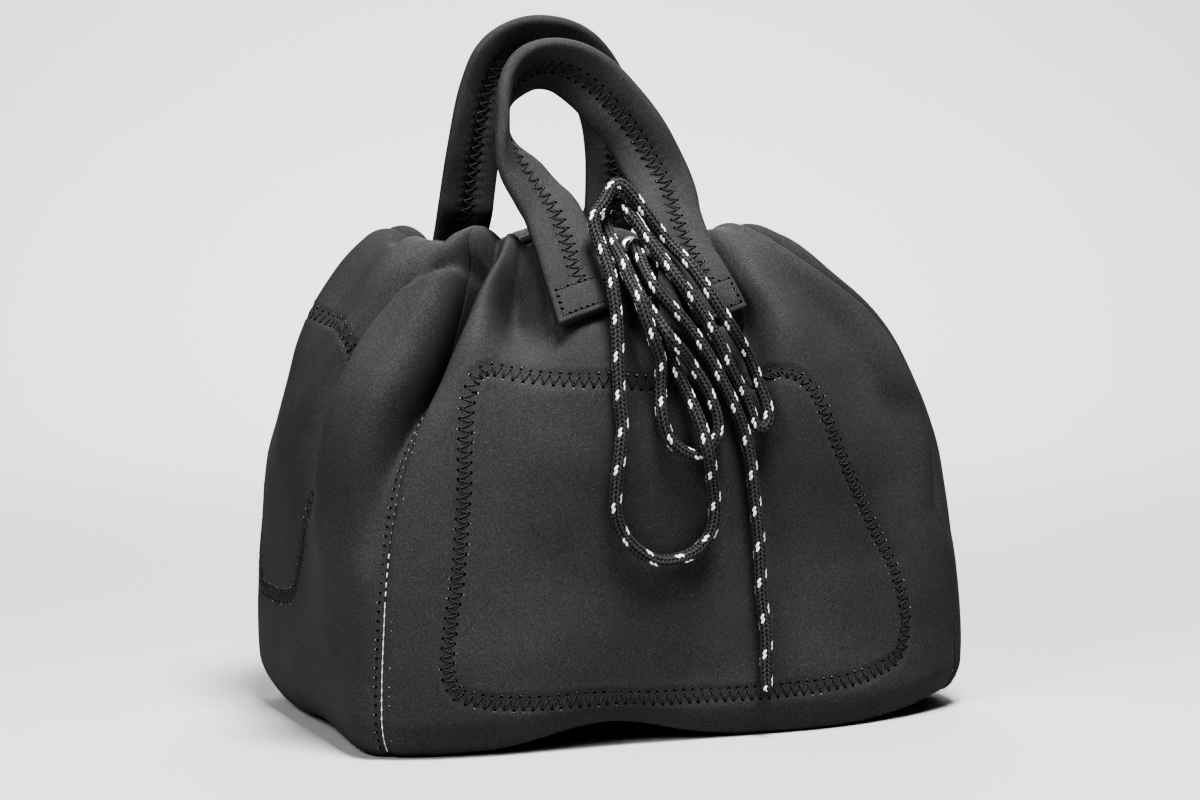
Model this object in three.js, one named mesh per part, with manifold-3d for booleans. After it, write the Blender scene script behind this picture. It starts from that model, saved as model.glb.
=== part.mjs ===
// Gathered neoprene tote bag: four walls and a floor, drawcord mouth, two strap handles.
// Millimetres, +Z up, -Y is the front, the bag stands on z = 0 with its floor centred on the origin.
import * as THREE from 'three'
import Module from 'manifold-3d'

const manifold = await Module()
manifold.setup()

// Driving dimensions of the cloth
const wallThickness = 3.5
const seamGap = 0.6
const layerGap = 0.35
const clothSlack = 0.9

// The bag's own shape, as curves over v: 0 is the floor edge, 1 the edge of the mouth
const halfWidth = [[0, 141], [0.02, 149], [0.04, 153], [0.08, 156], [0.25, 153], [0.45, 142],
  [0.62, 121], [0.76, 98], [0.88, 80], [0.94, 70], [1, 58]]
const halfDepth = [[0, 74], [0.02, 82], [0.04, 86], [0.08, 90], [0.25, 91], [0.45, 90],
  [0.62, 84], [0.76, 72], [0.88, 59], [0.94, 52], [1, 44]]
const height = [[0, 0], [0.02, 0.6], [0.04, 5], [0.08, 19], [0.25, 70], [0.45, 130],
  [0.62, 181], [0.76, 213], [0.88, 233], [0.94, 239], [1, 234]]
const leanX = [[0, 7], [0.3, 4], [0.6, -3], [0.85, -12], [1, -15]]
const frontSquareness = [[0, 3.4], [0.1, 3.8], [0.25, 3.6], [0.45, 3], [0.7, 2.5], [1, 2]]
const sideSquareness = [[0, 12], [0.1, 10], [0.25, 9], [0.45, 6], [0.7, 3.6], [1, 2.1]]

// Where the soft floor edge lifts off the ground, and where the front bellies out over it
const floorLifts = [
  { u: 0.37, width: 0.11, rise: 13 },
  { u: 1, width: 0.16, rise: 8 },
  { u: 2, width: 0.16, rise: 8 },
  { u: 3, width: 0.2, rise: 12 },
  { u: 3.6, width: 0.2, rise: 6 },
]
const floorBulge = { u: 0.66, width: 0.2, depth: 9 }
const liftTop = 0.3
const bulgeTop = 0.35

// Handles: sewn straps
const strapWidth = 31
const strapThickness = 7.5
const strapSewnFrom = 0.72
const strapSewnTo = 0.885
const strapLegs = {
  front_handle: { left: 0.318, right: 0.605 },
  back_handle: { left: 2.65, right: 2.27 },
}

// Drawcord and its eyelets
const cordDiameter = 6
const cordGap = 0.4
const eyeletFlange = 12.5
const eyeletLip = 1.2
const eyelets = {
  eyelet_tail: { u: 0.485, v: 0.905 },
  eyelet_loops: { u: 0.432, v: 0.84 },
}

// Hem facing that closes the cord's channel, and the pockets sewn inside each wall
const facingThickness = 2
const pocketThickness = 2

const materials = {
  neoprene: new THREE.MeshStandardMaterial({ color: 0x2a2a2b, roughness: 0.85, metalness: 0 }),
  lining: new THREE.MeshStandardMaterial({ color: 0x222223, roughness: 0.9, metalness: 0 }),
  strap: new THREE.MeshStandardMaterial({ color: 0x2d2d2e, roughness: 0.85, metalness: 0 }),
  cord: new THREE.MeshStandardMaterial({ color: 0x3a3a3b, roughness: 0.8, metalness: 0 }),
  metal: new THREE.MeshStandardMaterial({ color: 0x8d8f92, roughness: 0.3, metalness: 1 }),
}

// Pleats: centre u, half width in u and height along v; a positive height stands out of the wall
const pleat = (at, width, rise) => ({ at, width, rise })
const pleats = [
  pleat([[0.2, 3.72], [0.44, 3.76], [0.54, 3.79], [0.65, 3.82], [0.78, 3.88], [0.88, 3.95], [0.95, 3.99], [1, 4.02]],
    [[0.2, 0.12], [0.45, 0.1], [0.65, 0.09], [0.8, 0.075], [1, 0.06]],
    [[0.15, 0], [0.3, 3], [0.45, 9], [0.6, 13], [0.75, 13], [0.88, 11], [0.95, 7], [1, 4]]),
  pleat([[0.4, 3.88], [0.54, 3.91], [0.65, 3.93], [0.78, 3.955], [0.88, 4], [1, 4.05]],
    [[0.4, 0.07], [0.65, 0.05], [1, 0.045]],
    [[0.35, 0], [0.48, 6], [0.6, 11], [0.75, 12], [0.88, 8], [0.95, 3], [1, 0]]),
  pleat([[0.35, 3.95], [0.52, 3.985], [0.62, 4.02], [0.72, 4.04], [0.82, 4.06], [0.89, 4.1], [1, 4.12]],
    [[0.35, 0.045], [0.6, 0.036], [1, 0.032]],
    [[0.3, 0], [0.42, -4], [0.52, -10], [0.62, -18], [0.72, -20], [0.82, -17], [0.89, -9], [0.935, -2], [0.96, 0], [1, 0]]),
  pleat([[0.45, 3.6], [0.6, 3.66], [0.72, 3.72], [0.85, 3.8], [1, 3.85]],
    [[0.45, 0.08], [1, 0.055]],
    [[0.4, 0], [0.55, -5], [0.7, -9], [0.83, -11], [0.9, -5], [0.945, -1], [0.97, 0], [1, 0]]),
  pleat([[0.52, 3.42], [0.6, 3.5], [0.7, 3.62], [0.8, 3.7]],
    [[0.5, 0.1], [0.8, 0.06]],
    [[0.5, 0], [0.58, 4], [0.68, 5], [0.76, 3], [0.82, 0]]),
  pleat([[0.4, 0.12], [0.6, 0.12], [0.72, 0.12], [0.8, 0.11], [0.87, 0.12], [1, 0.14]],
    [[0.4, 0.09], [0.7, 0.05], [1, 0.04]],
    [[0.3, 0], [0.5, 3], [0.66, 7], [0.8, 10], [0.9, 8], [1, 3]]),
  pleat([[0.55, 0.3], [0.7, 0.262], [0.76, 0.228], [0.82, 0.19], [0.88, 0.17], [1, 0.17]],
    [[0.6, 0.06], [0.75, 0.045], [0.85, 0.036], [1, 0.03]],
    [[0.56, 0], [0.66, -5], [0.75, -14], [0.81, -19], [0.87, -13], [0.925, -3], [0.955, 0], [1, 0]]),
  pleat([[0.3, 0.42], [1, 0.42]],
    [[0.3, 0.22], [1, 0.1]],
    [[0.35, 0], [0.55, 3], [0.75, 4], [0.9, 2], [1, 1]]),
  pleat([[0.15, 0.65], [0.3, 0.625], [0.5, 0.613], [0.62, 0.64], [0.75, 0.69], [0.84, 0.715], [1, 0.72]],
    [[0.15, 0.05], [0.5, 0.042], [1, 0.034]],
    [[0.12, 0], [0.28, -4], [0.45, -8], [0.6, -12], [0.75, -16], [0.85, -12], [0.925, -3], [0.955, 0], [1, 0]]),
  pleat([[0.3, 0.76], [0.55, 0.745], [0.65, 0.75], [0.75, 0.775], [0.9, 0.79], [1, 0.79]],
    [[0.3, 0.09], [1, 0.045]],
    [[0.3, 0], [0.5, 3], [0.7, 7], [0.85, 9], [0.95, 7], [1, 4]]),
  pleat([[0.4, 0.97], [0.52, 0.965], [0.58, 0.94], [0.67, 0.93], [0.76, 0.9], [0.87, 0.865], [1, 0.87]],
    [[0.4, 0.05], [0.6, 0.048], [1, 0.04]],
    [[0.36, 0], [0.5, 9], [0.62, 14], [0.75, 14], [0.88, 12], [0.95, 9], [1, 5]]),
  pleat([[0.35, 1.02], [0.51, 1.04], [0.58, 1.06], [0.68, 1.05], [0.8, 0.98], [0.9, 0.96], [1, 0.96]],
    [[0.35, 0.05], [1, 0.036]],
    [[0.3, 0], [0.45, -9], [0.6, -16], [0.75, -14], [0.87, -7], [0.94, -1], [0.96, 0], [1, 0]]),
  pleat([[0.35, 1.16], [0.6, 1.17], [0.8, 1.08], [1, 1.06]],
    [[0.35, 0.09], [1, 0.05]],
    [[0.3, 0], [0.45, 5], [0.65, 10], [0.85, 12], [0.95, 9], [1, 5]]),
]

// The gathers go on round the right side, the back and the left side in the same rhythm
const gathers = [
  [1.22, -6, 0.05], [1.36, 8, 0.07], [1.52, -6, 0.05], [1.68, 8, 0.07], [1.84, -7, 0.05],
  [1.97, 9, 0.06], [2.12, -6, 0.05], [2.42, 5, 0.12], [2.9, -7, 0.05], [3.02, 10, 0.06],
  [3.16, -6, 0.05], [3.3, 8, 0.07], [3.48, -3, 0.06], [3.62, 5, 0.1],
]
for (const [u, rise, width] of gathers) {
  const profile = rise > 0
    ? [[0.42, 0], [0.6, rise * 0.55], [0.78, rise], [0.9, rise], [1, rise * 0.4]]
    : [[0.45, 0], [0.6, rise * 0.6], [0.78, rise], [0.9, rise * 0.7], [0.96, -1], [1, 0]]
  pleats.push(pleat([[0.4, u], [1, u]], [[0.4, width * 1.2], [1, width * 0.8]], profile))
}

// Where a pleat leans over its neighbour: centre and half width in u, and how far it leans round the bag
const roll = (at, width, reach) => ({ at, width, reach })
const rolls = [
  roll([[0.4, 3.92], [0.55, 3.95], [0.65, 3.965], [0.78, 3.985], [0.88, 4.03], [1, 4.07]], 0.07,
    [[0.36, 0], [0.48, 3.85], [0.6, 8.25], [0.75, 9.9], [0.85, 6.6], [0.92, 1.65], [0.95, 0], [1, 0]]),
  roll([[0.5, 0.13], [0.7, 0.15], [0.8, 0.14], [0.9, 0.14]], 0.05,
    [[0.6, 0], [0.72, 2.2], [0.82, 3.85], [0.9, 1.65], [0.95, 0]]),
  roll([[0.3, 0.72], [0.55, 0.7], [0.75, 0.76], [0.9, 0.78]], 0.06,
    [[0.4, 0], [0.6, -2.75], [0.78, -4.95], [0.88, -2.2], [0.95, 0]]),
  roll([[0.4, 0.98], [0.58, 0.99], [0.75, 0.95], [0.9, 0.92]], 0.06,
    [[0.36, 0], [0.5, 2.75], [0.65, 5.5], [0.78, 4.4], [0.88, 1.1], [0.92, 0], [1, 0]]),
]

// A smooth curve through stations that never overshoots them
function track(stations, at) {
  const last = stations.length - 1
  const v = Math.min(Math.max(at, stations[0][0]), stations[last][0])
  let i = 0
  while (i < last - 1 && v > stations[i + 1][0]) i += 1
  const slope = (k) => (stations[k + 1][1] - stations[k][1]) / (stations[k + 1][0] - stations[k][0])
  const tangent = (k) => {
    if (k === 0) return slope(0)
    if (k === last) return slope(last - 1)
    const before = slope(k - 1)
    const after = slope(k)
    if (before * after <= 0) return 0
    const hBefore = stations[k][0] - stations[k - 1][0]
    const hAfter = stations[k + 1][0] - stations[k][0]
    return (3 * (hBefore + hAfter)) /
      ((2 * hAfter + hBefore) / before + (hAfter + 2 * hBefore) / after)
  }
  const span = stations[i + 1][0] - stations[i][0]
  const t = (v - stations[i][0]) / span
  const rise = stations[i][1] * (2 * t ** 3 - 3 * t ** 2 + 1) + stations[i + 1][1] * (3 * t ** 2 - 2 * t ** 3)
  return rise + span * (tangent(i) * (t ** 3 - 2 * t ** 2 + t) + tangent(i + 1) * (t ** 3 - t ** 2))
}

const aroundFrom = (u, centre) => ((((u - centre + 2) % 4) + 4) % 4) - 2
const bell = (u, centre, width) => Math.exp(-((aroundFrom(u, centre) / width) ** 2))
const fadeOut = (v, top) => Math.max(0, 1 - v / top) ** 2

// The smooth bag without pleats; u runs 0-1 front, 1-2 right, 2-3 back, 3-4 left
function smoothBag(u, v) {
  const turn = ((u % 4) + 4) % 4
  const side = Math.floor(turn)
  const across = 2 * (turn - side) - 1
  const qx = [across, 1, -across, -1][side]
  const qy = [-1, across, 1, -across][side]
  const power = track(side % 2 === 0 ? frontSquareness : sideSquareness, v)
  const swell = (2 / (Math.abs(qx) ** power + Math.abs(qy) ** power)) ** (1 / power)
  const belly = floorBulge.depth * bell(u, floorBulge.u, floorBulge.width) * fadeOut(v, bulgeTop)
  let z = track(height, v)
  for (const lift of floorLifts) z += lift.rise * bell(u, lift.u, lift.width) * fadeOut(v, liftTop)
  const x = track(halfWidth, v) * qx * swell + track(leanX, v)
  const y = track(halfDepth, v) * qy * swell - belly
  return new THREE.Vector3(x, y, z)
}

function bagFrame(u, v) {
  const step = 0.001
  const low = Math.max(v - step, 0)
  const high = Math.min(v + step, 1)
  const around = smoothBag(u + step, v).sub(smoothBag(u - step, v)).divideScalar(2 * step)
  const up = smoothBag(u, high).sub(smoothBag(u, low)).divideScalar(high - low)
  const out = new THREE.Vector3().crossVectors(around, up).normalize()
  return { around, up, out }
}

function pleatHeight(u, v) {
  let rise = 0
  for (const p of pleats) rise += track(p.rise, v) * bell(u, track(p.at, v), track(p.width, v))
  return rise
}

// A point on the bag's outer face, moved outward by lift (inward when negative)
function onBag(u, v, lift = 0) {
  const { around, out } = bagFrame(u, v)
  let lean = 0
  for (const r of rolls) lean += track(r.reach, v) * bell(u, track(r.at, v), r.width)
  return smoothBag(u, v).addScaledVector(around.normalize(), lean)
    .addScaledVector(out, pleatHeight(u, v) + lift)
}

// Closed body between two faces given as grids of points; wrap joins the last column to the first
function slab(columns, rows, outer, inner, wrap = false) {
  const points = []
  const faces = []
  const across = wrap ? columns : columns + 1
  const index = (i, j, k) => (k * (rows + 1) + j) * across + (i % across)
  for (const face of [outer, inner]) {
    for (let j = 0; j <= rows; j += 1) {
      for (let i = 0; i < across; i += 1) points.push(face(i / columns, j / rows))
    }
  }
  const quad = (a, b, c, d) => faces.push(a, b, c, a, c, d)
  for (let j = 0; j < rows; j += 1) {
    for (let i = 0; i < columns; i += 1) {
      quad(index(i, j, 0), index(i + 1, j, 0), index(i + 1, j + 1, 0), index(i, j + 1, 0))
      quad(index(i, j, 1), index(i, j + 1, 1), index(i + 1, j + 1, 1), index(i + 1, j, 1))
    }
  }
  for (let i = 0; i < columns; i += 1) {
    quad(index(i, 0, 1), index(i + 1, 0, 1), index(i + 1, 0, 0), index(i, 0, 0))
    quad(index(i, rows, 0), index(i + 1, rows, 0), index(i + 1, rows, 1), index(i, rows, 1))
  }
  if (!wrap) {
    for (let j = 0; j < rows; j += 1) {
      quad(index(0, j, 0), index(0, j + 1, 0), index(0, j + 1, 1), index(0, j, 1))
      quad(index(columns, j, 1), index(columns, j + 1, 1), index(columns, j + 1, 0), index(columns, j, 0))
    }
  }
  return geometryFrom(points, faces)
}

function geometryFrom(points, faces) {
  const geometry = new THREE.BufferGeometry()
  const positions = new Float32Array(points.flatMap((p) => [p.x, p.y, p.z]))
  geometry.setAttribute('position', new THREE.BufferAttribute(positions, 3))
  geometry.setIndex(faces)
  geometry.computeVertexNormals()
  return geometry
}

const bag = new THREE.Group()
bag.name = 'bag'
function add(name, geometry, material) {
  const mesh = new THREE.Mesh(geometry, material)
  mesh.name = name
  bag.add(mesh)
  return mesh
}

// Boolean cut of one closed geometry from another
function toManifold(geometry) {
  const index = geometry.index.array
  const position = geometry.attributes.position.array
  const merged = new Map()
  const points = []
  const renumber = []
  for (let i = 0; i < position.length; i += 3) {
    const key = [0, 1, 2].map((k) => Math.round(position[i + k] * 1e4)).join()
    if (!merged.has(key)) {
      merged.set(key, points.length / 3)
      points.push(position[i], position[i + 1], position[i + 2])
    }
    renumber.push(merged.get(key))
  }
  const triangles = []
  for (let i = 0; i < index.length; i += 3) {
    const corner = [renumber[index[i]], renumber[index[i + 1]], renumber[index[i + 2]]]
    if (new Set(corner).size === 3) triangles.push(...corner)
  }
  const mesh = new manifold.Mesh({
    numProp: 3,
    vertProperties: new Float32Array(points),
    triVerts: new Uint32Array(triangles),
  })
  return new manifold.Manifold(mesh)
}

function cut(geometry, tools) {
  let solid = toManifold(geometry)
  for (const tool of tools) solid = solid.subtract(toManifold(tool))
  const mesh = solid.getMesh()
  const result = new THREE.BufferGeometry()
  result.setAttribute('position', new THREE.BufferAttribute(mesh.vertProperties.slice(), 3))
  result.setIndex(new THREE.BufferAttribute(mesh.triVerts.slice(), 1))
  result.computeVertexNormals()
  return result
}

// Eyelets: a rolled ring with a neck through the wall, set square to the cloth
const eyeletBore = cordDiameter / 2 + cordGap
const neckRadius = eyeletBore + 0.9
const holeRadius = neckRadius + layerGap
const seatRadius = eyeletFlange / 2 + layerGap
const pinch = 0.4
function placeOnBag(geometry, { u, v }, lift) {
  const { out } = bagFrame(u, v)
  const turn = new THREE.Quaternion().setFromUnitVectors(new THREE.Vector3(0, 1, 0), out)
  geometry.applyQuaternion(turn)
  const at = onBag(u, v, lift)
  geometry.translate(at.x, at.y, at.z)
  return geometry
}

function eyeletProfile() {
  const flange = eyeletFlange / 2
  const front = layerGap + eyeletLip - pinch
  const back = -wallThickness - layerGap - eyeletLip + pinch
  return [
    [eyeletBore, back], [flange, back], [flange, back + eyeletLip], [neckRadius, back + eyeletLip],
    [neckRadius, front - eyeletLip], [flange, front - eyeletLip], [flange, front - eyeletLip * 0.4],
    [flange - eyeletLip * 0.6, front], [eyeletBore, front],
  ].map(([r, y]) => new THREE.Vector2(r, y))
}

function eyeletGeometry(spot) {
  const profile = eyeletProfile()
  profile.push(profile[0].clone())
  return placeOnBag(new THREE.LatheGeometry(profile, 18), spot, 0)
}

// The hole through the wall, and the flat seats that the two flanges press into the cloth
function eyeletSeats(spot) {
  const disc = (radius, from, to) => {
    const cylinder = new THREE.CylinderGeometry(radius, radius, to - from, 16)
    return placeOnBag(cylinder.translate(0, (from + to) / 2, 0), spot, 0)
  }
  const reach = wallThickness * 2
  return [
    disc(holeRadius, -wallThickness - reach, reach),
    disc(seatRadius, -pinch, reach),
    disc(seatRadius, -wallThickness - reach, -wallThickness + pinch),
  ]
}

// The four walls
const wallColumns = 24
const wallRows = [0, 0.02, 0.04, 0.08, 0.17, 0.28, 0.38, 0.47, 0.56, 0.64, 0.71, 0.78, 0.84, 0.89, 0.93, 0.965, 1]
const fromRows = (fraction) => {
  const at = fraction * (wallRows.length - 1)
  return wallRows[Math.round(at)]
}
function wall(side) {
  const face = (lift) => (i, j) => {
    const v = fromRows(j)
    const inset = seamGap / 2 / bagFrame(side + 0.5, v).around.length() * 1.2
    const u = side + inset + i * (1 - 2 * inset)
    return onBag(u, v, lift)
  }
  return slab(wallColumns, wallRows.length - 1, face(0), face(-wallThickness))
}

add('front_wall', cut(wall(0), Object.values(eyelets).flatMap(eyeletSeats)), materials.neoprene)
add('right_wall', wall(1), materials.neoprene)
add('back_wall', wall(2), materials.neoprene)
add('left_wall', wall(3), materials.neoprene)
for (const [name, spot] of Object.entries(eyelets)) add(name, eyeletGeometry(spot), materials.metal)

// The floor lies flat in the middle and follows the lifted edge
const flatShare = 0.62
function floorPoint(u, reach, lift) {
  const edge = smoothBag(u, 0)
  const inward = 1 - (seamGap * 1.6) / Math.hypot(edge.x, edge.y)
  const rise = edge.z * Math.max(0, (reach - flatShare) / (1 - flatShare)) ** 2
  return new THREE.Vector3(edge.x * reach * inward, edge.y * reach * inward, rise + lift)
}
function floorPanel() {
  const around = 48
  const reaches = [0.25, flatShare, 0.75, 0.88, 1]
  const points = [new THREE.Vector3(0, 0, 0), new THREE.Vector3(0, 0, wallThickness)]
  const faces = []
  for (const lift of [0, wallThickness]) {
    for (const reach of reaches) {
      for (let i = 0; i < around; i += 1) points.push(floorPoint((4 * i) / around, reach, lift))
    }
  }
  const index = (i, ring, top) => 2 + (top * reaches.length + ring) * around + (i % around)
  for (let i = 0; i < around; i += 1) {
    faces.push(0, index(i + 1, 0, 0), index(i, 0, 0), 1, index(i, 0, 1), index(i + 1, 0, 1))
    for (let r = 0; r < reaches.length - 1; r += 1) {
      const low = [index(i, r, 0), index(i + 1, r, 0), index(i + 1, r + 1, 0), index(i, r + 1, 0)]
      const top = [index(i, r, 1), index(i, r + 1, 1), index(i + 1, r + 1, 1), index(i + 1, r, 1)]
      for (const [a, b, c, d] of [low, top]) faces.push(a, b, c, a, c, d)
    }
    const rim = reaches.length - 1
    const side = [index(i, rim, 0), index(i + 1, rim, 0), index(i + 1, rim, 1), index(i, rim, 1)]
    faces.push(side[0], side[1], side[2], side[0], side[2], side[3])
  }
  return geometryFrom(points, faces)
}
add('floor_panel', floorPanel(), materials.neoprene)

// The deepest hollow of the cloth close to a point
function deepestNear(u, v) {
  let depth = 0
  for (const across of [-0.045, -0.03, -0.015, 0, 0.015, 0.03, 0.045]) {
    for (const along of [-0.05, -0.025, 0, 0.025, 0.05]) {
      depth = Math.min(depth, pleatHeight(u + across, v + along))
    }
  }
  return depth
}

// Hem facing: sewn at the edge of the mouth and at its foot, with the cord's channel behind it
const facingRows = [[0.78, 0.6, true], [0.84, 13, false], [0.89, 15, false], [0.965, 13.2, false], [1, 0, true]]
function facingFace(depth) {
  return (i, j) => {
    const [v, room, sewn] = facingRows[Math.round(j * (facingRows.length - 1))]
    const u = 4 * i
    const under = -wallThickness - clothSlack - depth
    if (sewn) {
      const dips = [-0.025, -0.012, 0, 0.012, 0.025].map((k) => pleatHeight(u + k, v) - pleatHeight(u, v))
      return onBag(u, v, under - room + Math.min(...dips))
    }
    const lift = under + Math.min(-room, deepestNear(u, v))
    return smoothBag(u, v).addScaledVector(bagFrame(u, v).out, lift)
  }
}
const facingSlab = slab(4 * wallColumns, facingRows.length - 1, facingFace(0), facingFace(facingThickness), true)
add('mouth_facing', facingSlab, materials.lining)

// Pockets sewn to the inside of each wall, behind the zigzag outlines
const pockets = {
  front_pocket: [[0.15, 0.1], [0.84, 0.12], [0.7, 0.6], [0.15, 0.61]],
  left_pocket: [[3.15, 0.23], [3.5, 0.23], [3.62, 0.69], [3.2, 0.69]],
  back_pocket: [[2.16, 0.11], [2.84, 0.11], [2.74, 0.6], [2.26, 0.6]],
  right_pocket: [[1.3, 0.23], [1.7, 0.23], [1.72, 0.66], [1.28, 0.66]],
}
function pocket(corners) {
  const face = (lift) => (i, j) => {
    const low = corners[0].map((c, k) => c + (corners[1][k] - c) * i)
    const high = corners[3].map((c, k) => c + (corners[2][k] - c) * i)
    const [u, v] = [0, 1].map((k) => low[k] + (high[k] - low[k]) * j)
    return smoothBag(u, v).addScaledVector(bagFrame(u, v).out, deepestNear(u, v) + lift)
  }
  const outside = -wallThickness - clothSlack
  return slab(9, 8, face(outside), face(outside - pocketThickness))
}
for (const [name, corners] of Object.entries(pockets)) add(name, pocket(corners), materials.lining)

// Strap handles. Each sewn end lies on the wall and rises to the hinge line; the loop goes on from it
const hingeGap = 0.4
const handleRoutes = {
  front_handle: {
    points: [[-54, -70, 252], [-54.5, -68, 255.5], [-59, -63, 263], [-67, -57, 277], [-72, -52, 291], [-72, -49, 306],
      [-66, -47, 318], [-54, -46, 326], [-39, -46, 326], [-26, -48, 319], [-15, -51, 308],
      [-4, -54, 294], [4, -58, 278], [9, -64, 264], [9, -70, 252]],
    faces: [[0, [0, -0.85, 0.5]], [0.12, [0.45, -0.85, 0.2]], [0.28, [0.95, -0.3, 0]],
      [0.5, [0.1, -0.7, -0.7]], [0.75, [-0.5, -0.85, -0.1]], [1, [0, -0.85, 0.5]]],
  },
  back_handle: {
    points: [[-46, 70, 252], [-46, 69, 256], [-45, 66, 271], [-43, 60, 297], [-40, 55, 318], [-34, 50, 335],
      [-21, 48, 344], [-6, 47, 344], [9, 48, 337], [22, 52, 324], [32, 57, 306],
      [37, 62, 287], [39, 67, 269], [39, 70, 252]],
    faces: [[0, [0, -0.85, -0.5]], [0.25, [0.2, -0.95, 0]], [0.5, [0.1, -0.7, -0.7]],
      [0.75, [-0.4, -0.9, 0]], [1, [0, -0.85, -0.5]]],
  },
}
const vec = (p) => new THREE.Vector3(p[0], p[1], p[2])
const routeCurve = (points) => new THREE.CatmullRomCurve3(points.map(vec), false, 'centripetal')

function faceAt(keys, s) {
  let i = 0
  while (i < keys.length - 2 && s > keys[i + 1][0]) i += 1
  const t = (s - keys[i][0]) / (keys[i + 1][0] - keys[i][0])
  const eased = t * t * (3 - 2 * t)
  return vec(keys[i][1]).normalize().lerp(vec(keys[i + 1][1]).normalize(), eased).normalize()
}

// Section of the strap with rolled edges: offsets across and through the strap
const strapSection = []
for (let k = 0; k <= 4; k += 1) {
  const angle = -Math.PI / 2 + (Math.PI * k) / 4
  const reach = strapWidth / 2 - strapThickness / 2
  strapSection.push([reach + (Math.cos(angle) * strapThickness) / 2, (Math.sin(angle) * strapThickness) / 2])
}
const halfSection = strapSection.map(([x, y]) => [-x, -y])
strapSection.push(...halfSection)

function strapFrame(curve, keys, s) {
  const centre = curve.getPointAt(s)
  const along = curve.getTangentAt(s)
  const face = faceAt(keys, s)
  face.addScaledVector(along, -face.dot(along)).normalize()
  const across = new THREE.Vector3().crossVectors(along, face).normalize()
  return { centre, along, face, across }
}

// Skin of a strap through a list of rings, closed at both ends
function skin(rings) {
  const size = rings[0].length
  const points = rings.flat()
  const faces = []
  for (let r = 0; r < rings.length - 1; r += 1) {
    for (let k = 0; k < size; k += 1) {
      const next = (k + 1) % size
      const [a, b] = [r * size + k, r * size + next]
      faces.push(a, b, b + size, a, b + size, a + size)
    }
  }
  for (let k = 1; k < size - 1; k += 1) {
    faces.push(0, k + 1, k)
    const top = (rings.length - 1) * size
    faces.push(top, top + k, top + k + 1)
  }
  return geometryFrom(points, faces)
}

function turnedOut(geometry) {
  const p = geometry.attributes.position
  const index = geometry.index.array
  let volume = 0
  const corner = (i) => new THREE.Vector3().fromBufferAttribute(p, index[i])
  for (let i = 0; i < index.length; i += 3) volume += corner(i).dot(corner(i + 1).cross(corner(i + 2)))
  if (volume < 0) {
    const turned = []
    for (let i = 0; i < index.length; i += 3) turned.push(index[i], index[i + 2], index[i + 1])
    geometry.setIndex(turned)
    geometry.computeVertexNormals()
  }
  return geometry
}

function handleLoop(route) {
  const curve = routeCurve(route.points)
  const length = curve.getLength()
  const trim = hingeGap / 2 / length
  const count = 44
  const rings = []
  for (let r = 0; r <= count; r += 1) {
    const s = trim + (1 - 2 * trim) * (r / count)
    const { centre, face, across } = strapFrame(curve, route.faces, s)
    rings.push(strapSection.map(([x, y]) =>
      centre.clone().addScaledVector(across, x).addScaledVector(face, y)))
  }
  return turnedOut(skin(rings))
}

// How far the pleated wall stands out under a strip of strap that lies flat across it
function highestUnder(u, v, run, climb) {
  const base = smoothBag(u, v)
  const { out } = bagFrame(u, v)
  let most = -Infinity
  for (const across of [-1, -0.75, -0.5, -0.25, 0, 0.25, 0.5, 0.75, 1]) {
    for (const along of [-4, 0, 4]) {
      const at = onBag(u + (across * strapWidth) / 2 / run, Math.min(v + along / climb, 1))
      most = Math.max(most, at.sub(base).dot(out))
    }
  }
  return most
}

// A sewn end: rows on the wall, then rows that straighten up to the loop's first section
function handleEnd(route, u, atStart) {
  const curve = routeCurve(route.points)
  const { centre, along, face, across } = strapFrame(curve, route.faces, atStart ? 0 : 1)
  const up = atStart ? along.clone() : along.clone().negate()
  const outward = bagFrame(u, strapSewnTo).out
  const facing = Math.sign(face.dot(outward)) || 1
  const around = bagFrame(u, strapSewnTo).around
  const sense = Math.sign(across.dot(around)) * facing
  const sewnRows = 5
  const rings = []
  for (let r = 0; r < sewnRows; r += 1) {
    const v = strapSewnFrom + ((strapSewnTo - strapSewnFrom) * r) / (sewnRows - 1)
    const { around: run, up: climb, out } = bagFrame(u, v)
    const side = run.clone().normalize()
    const base = smoothBag(u, v)
    const rise = highestUnder(u, v, run.length(), climb.length()) + clothSlack
    rings.push(strapSection.map(([x, y]) => base.clone()
      .addScaledVector(side, x * sense * facing)
      .addScaledVector(out, rise + strapThickness / 2 + y * facing)))
  }
  const top = centre.clone().addScaledVector(up, -hingeGap / 2)
  const flat = (at) => strapSection.map(([x, y]) =>
    at.clone().addScaledVector(across, x).addScaledVector(face, y))
  const last = rings[sewnRows - 1]
  const low = flat(top.clone().addScaledVector(up, -6))
  rings.push(last.map((p, k) => p.clone().lerp(low[k], 0.5)))
  rings.push(low)
  rings.push(flat(top))
  return turnedOut(skin(rings))
}

for (const [name, route] of Object.entries(handleRoutes)) {
  const legs = strapLegs[name]
  add(`${name}_left_end`, handleEnd(route, legs.left, true), materials.strap)
  add(`${name}_right_end`, handleEnd(route, legs.right, false), materials.strap)
  add(name, handleLoop(route), materials.strap)
}

// Round cord along a list of points; each end is cut square
function cordGeometry(points, sides, spacing) {
  const curve = routeCurve(points)
  const steps = Math.round(curve.getLength() / spacing)
  const circle = new THREE.Shape()
  for (let k = 0; k < sides; k += 1) {
    const angle = (2 * Math.PI * k) / sides
    const x = (Math.cos(angle) * cordDiameter) / 2
    const y = (Math.sin(angle) * cordDiameter) / 2
    if (k === 0) circle.moveTo(x, y)
    else circle.lineTo(x, y)
  }
  circle.closePath()
  return new THREE.ExtrudeGeometry(circle, { steps, extrudePath: curve, curveSegments: 1 })
}

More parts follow.
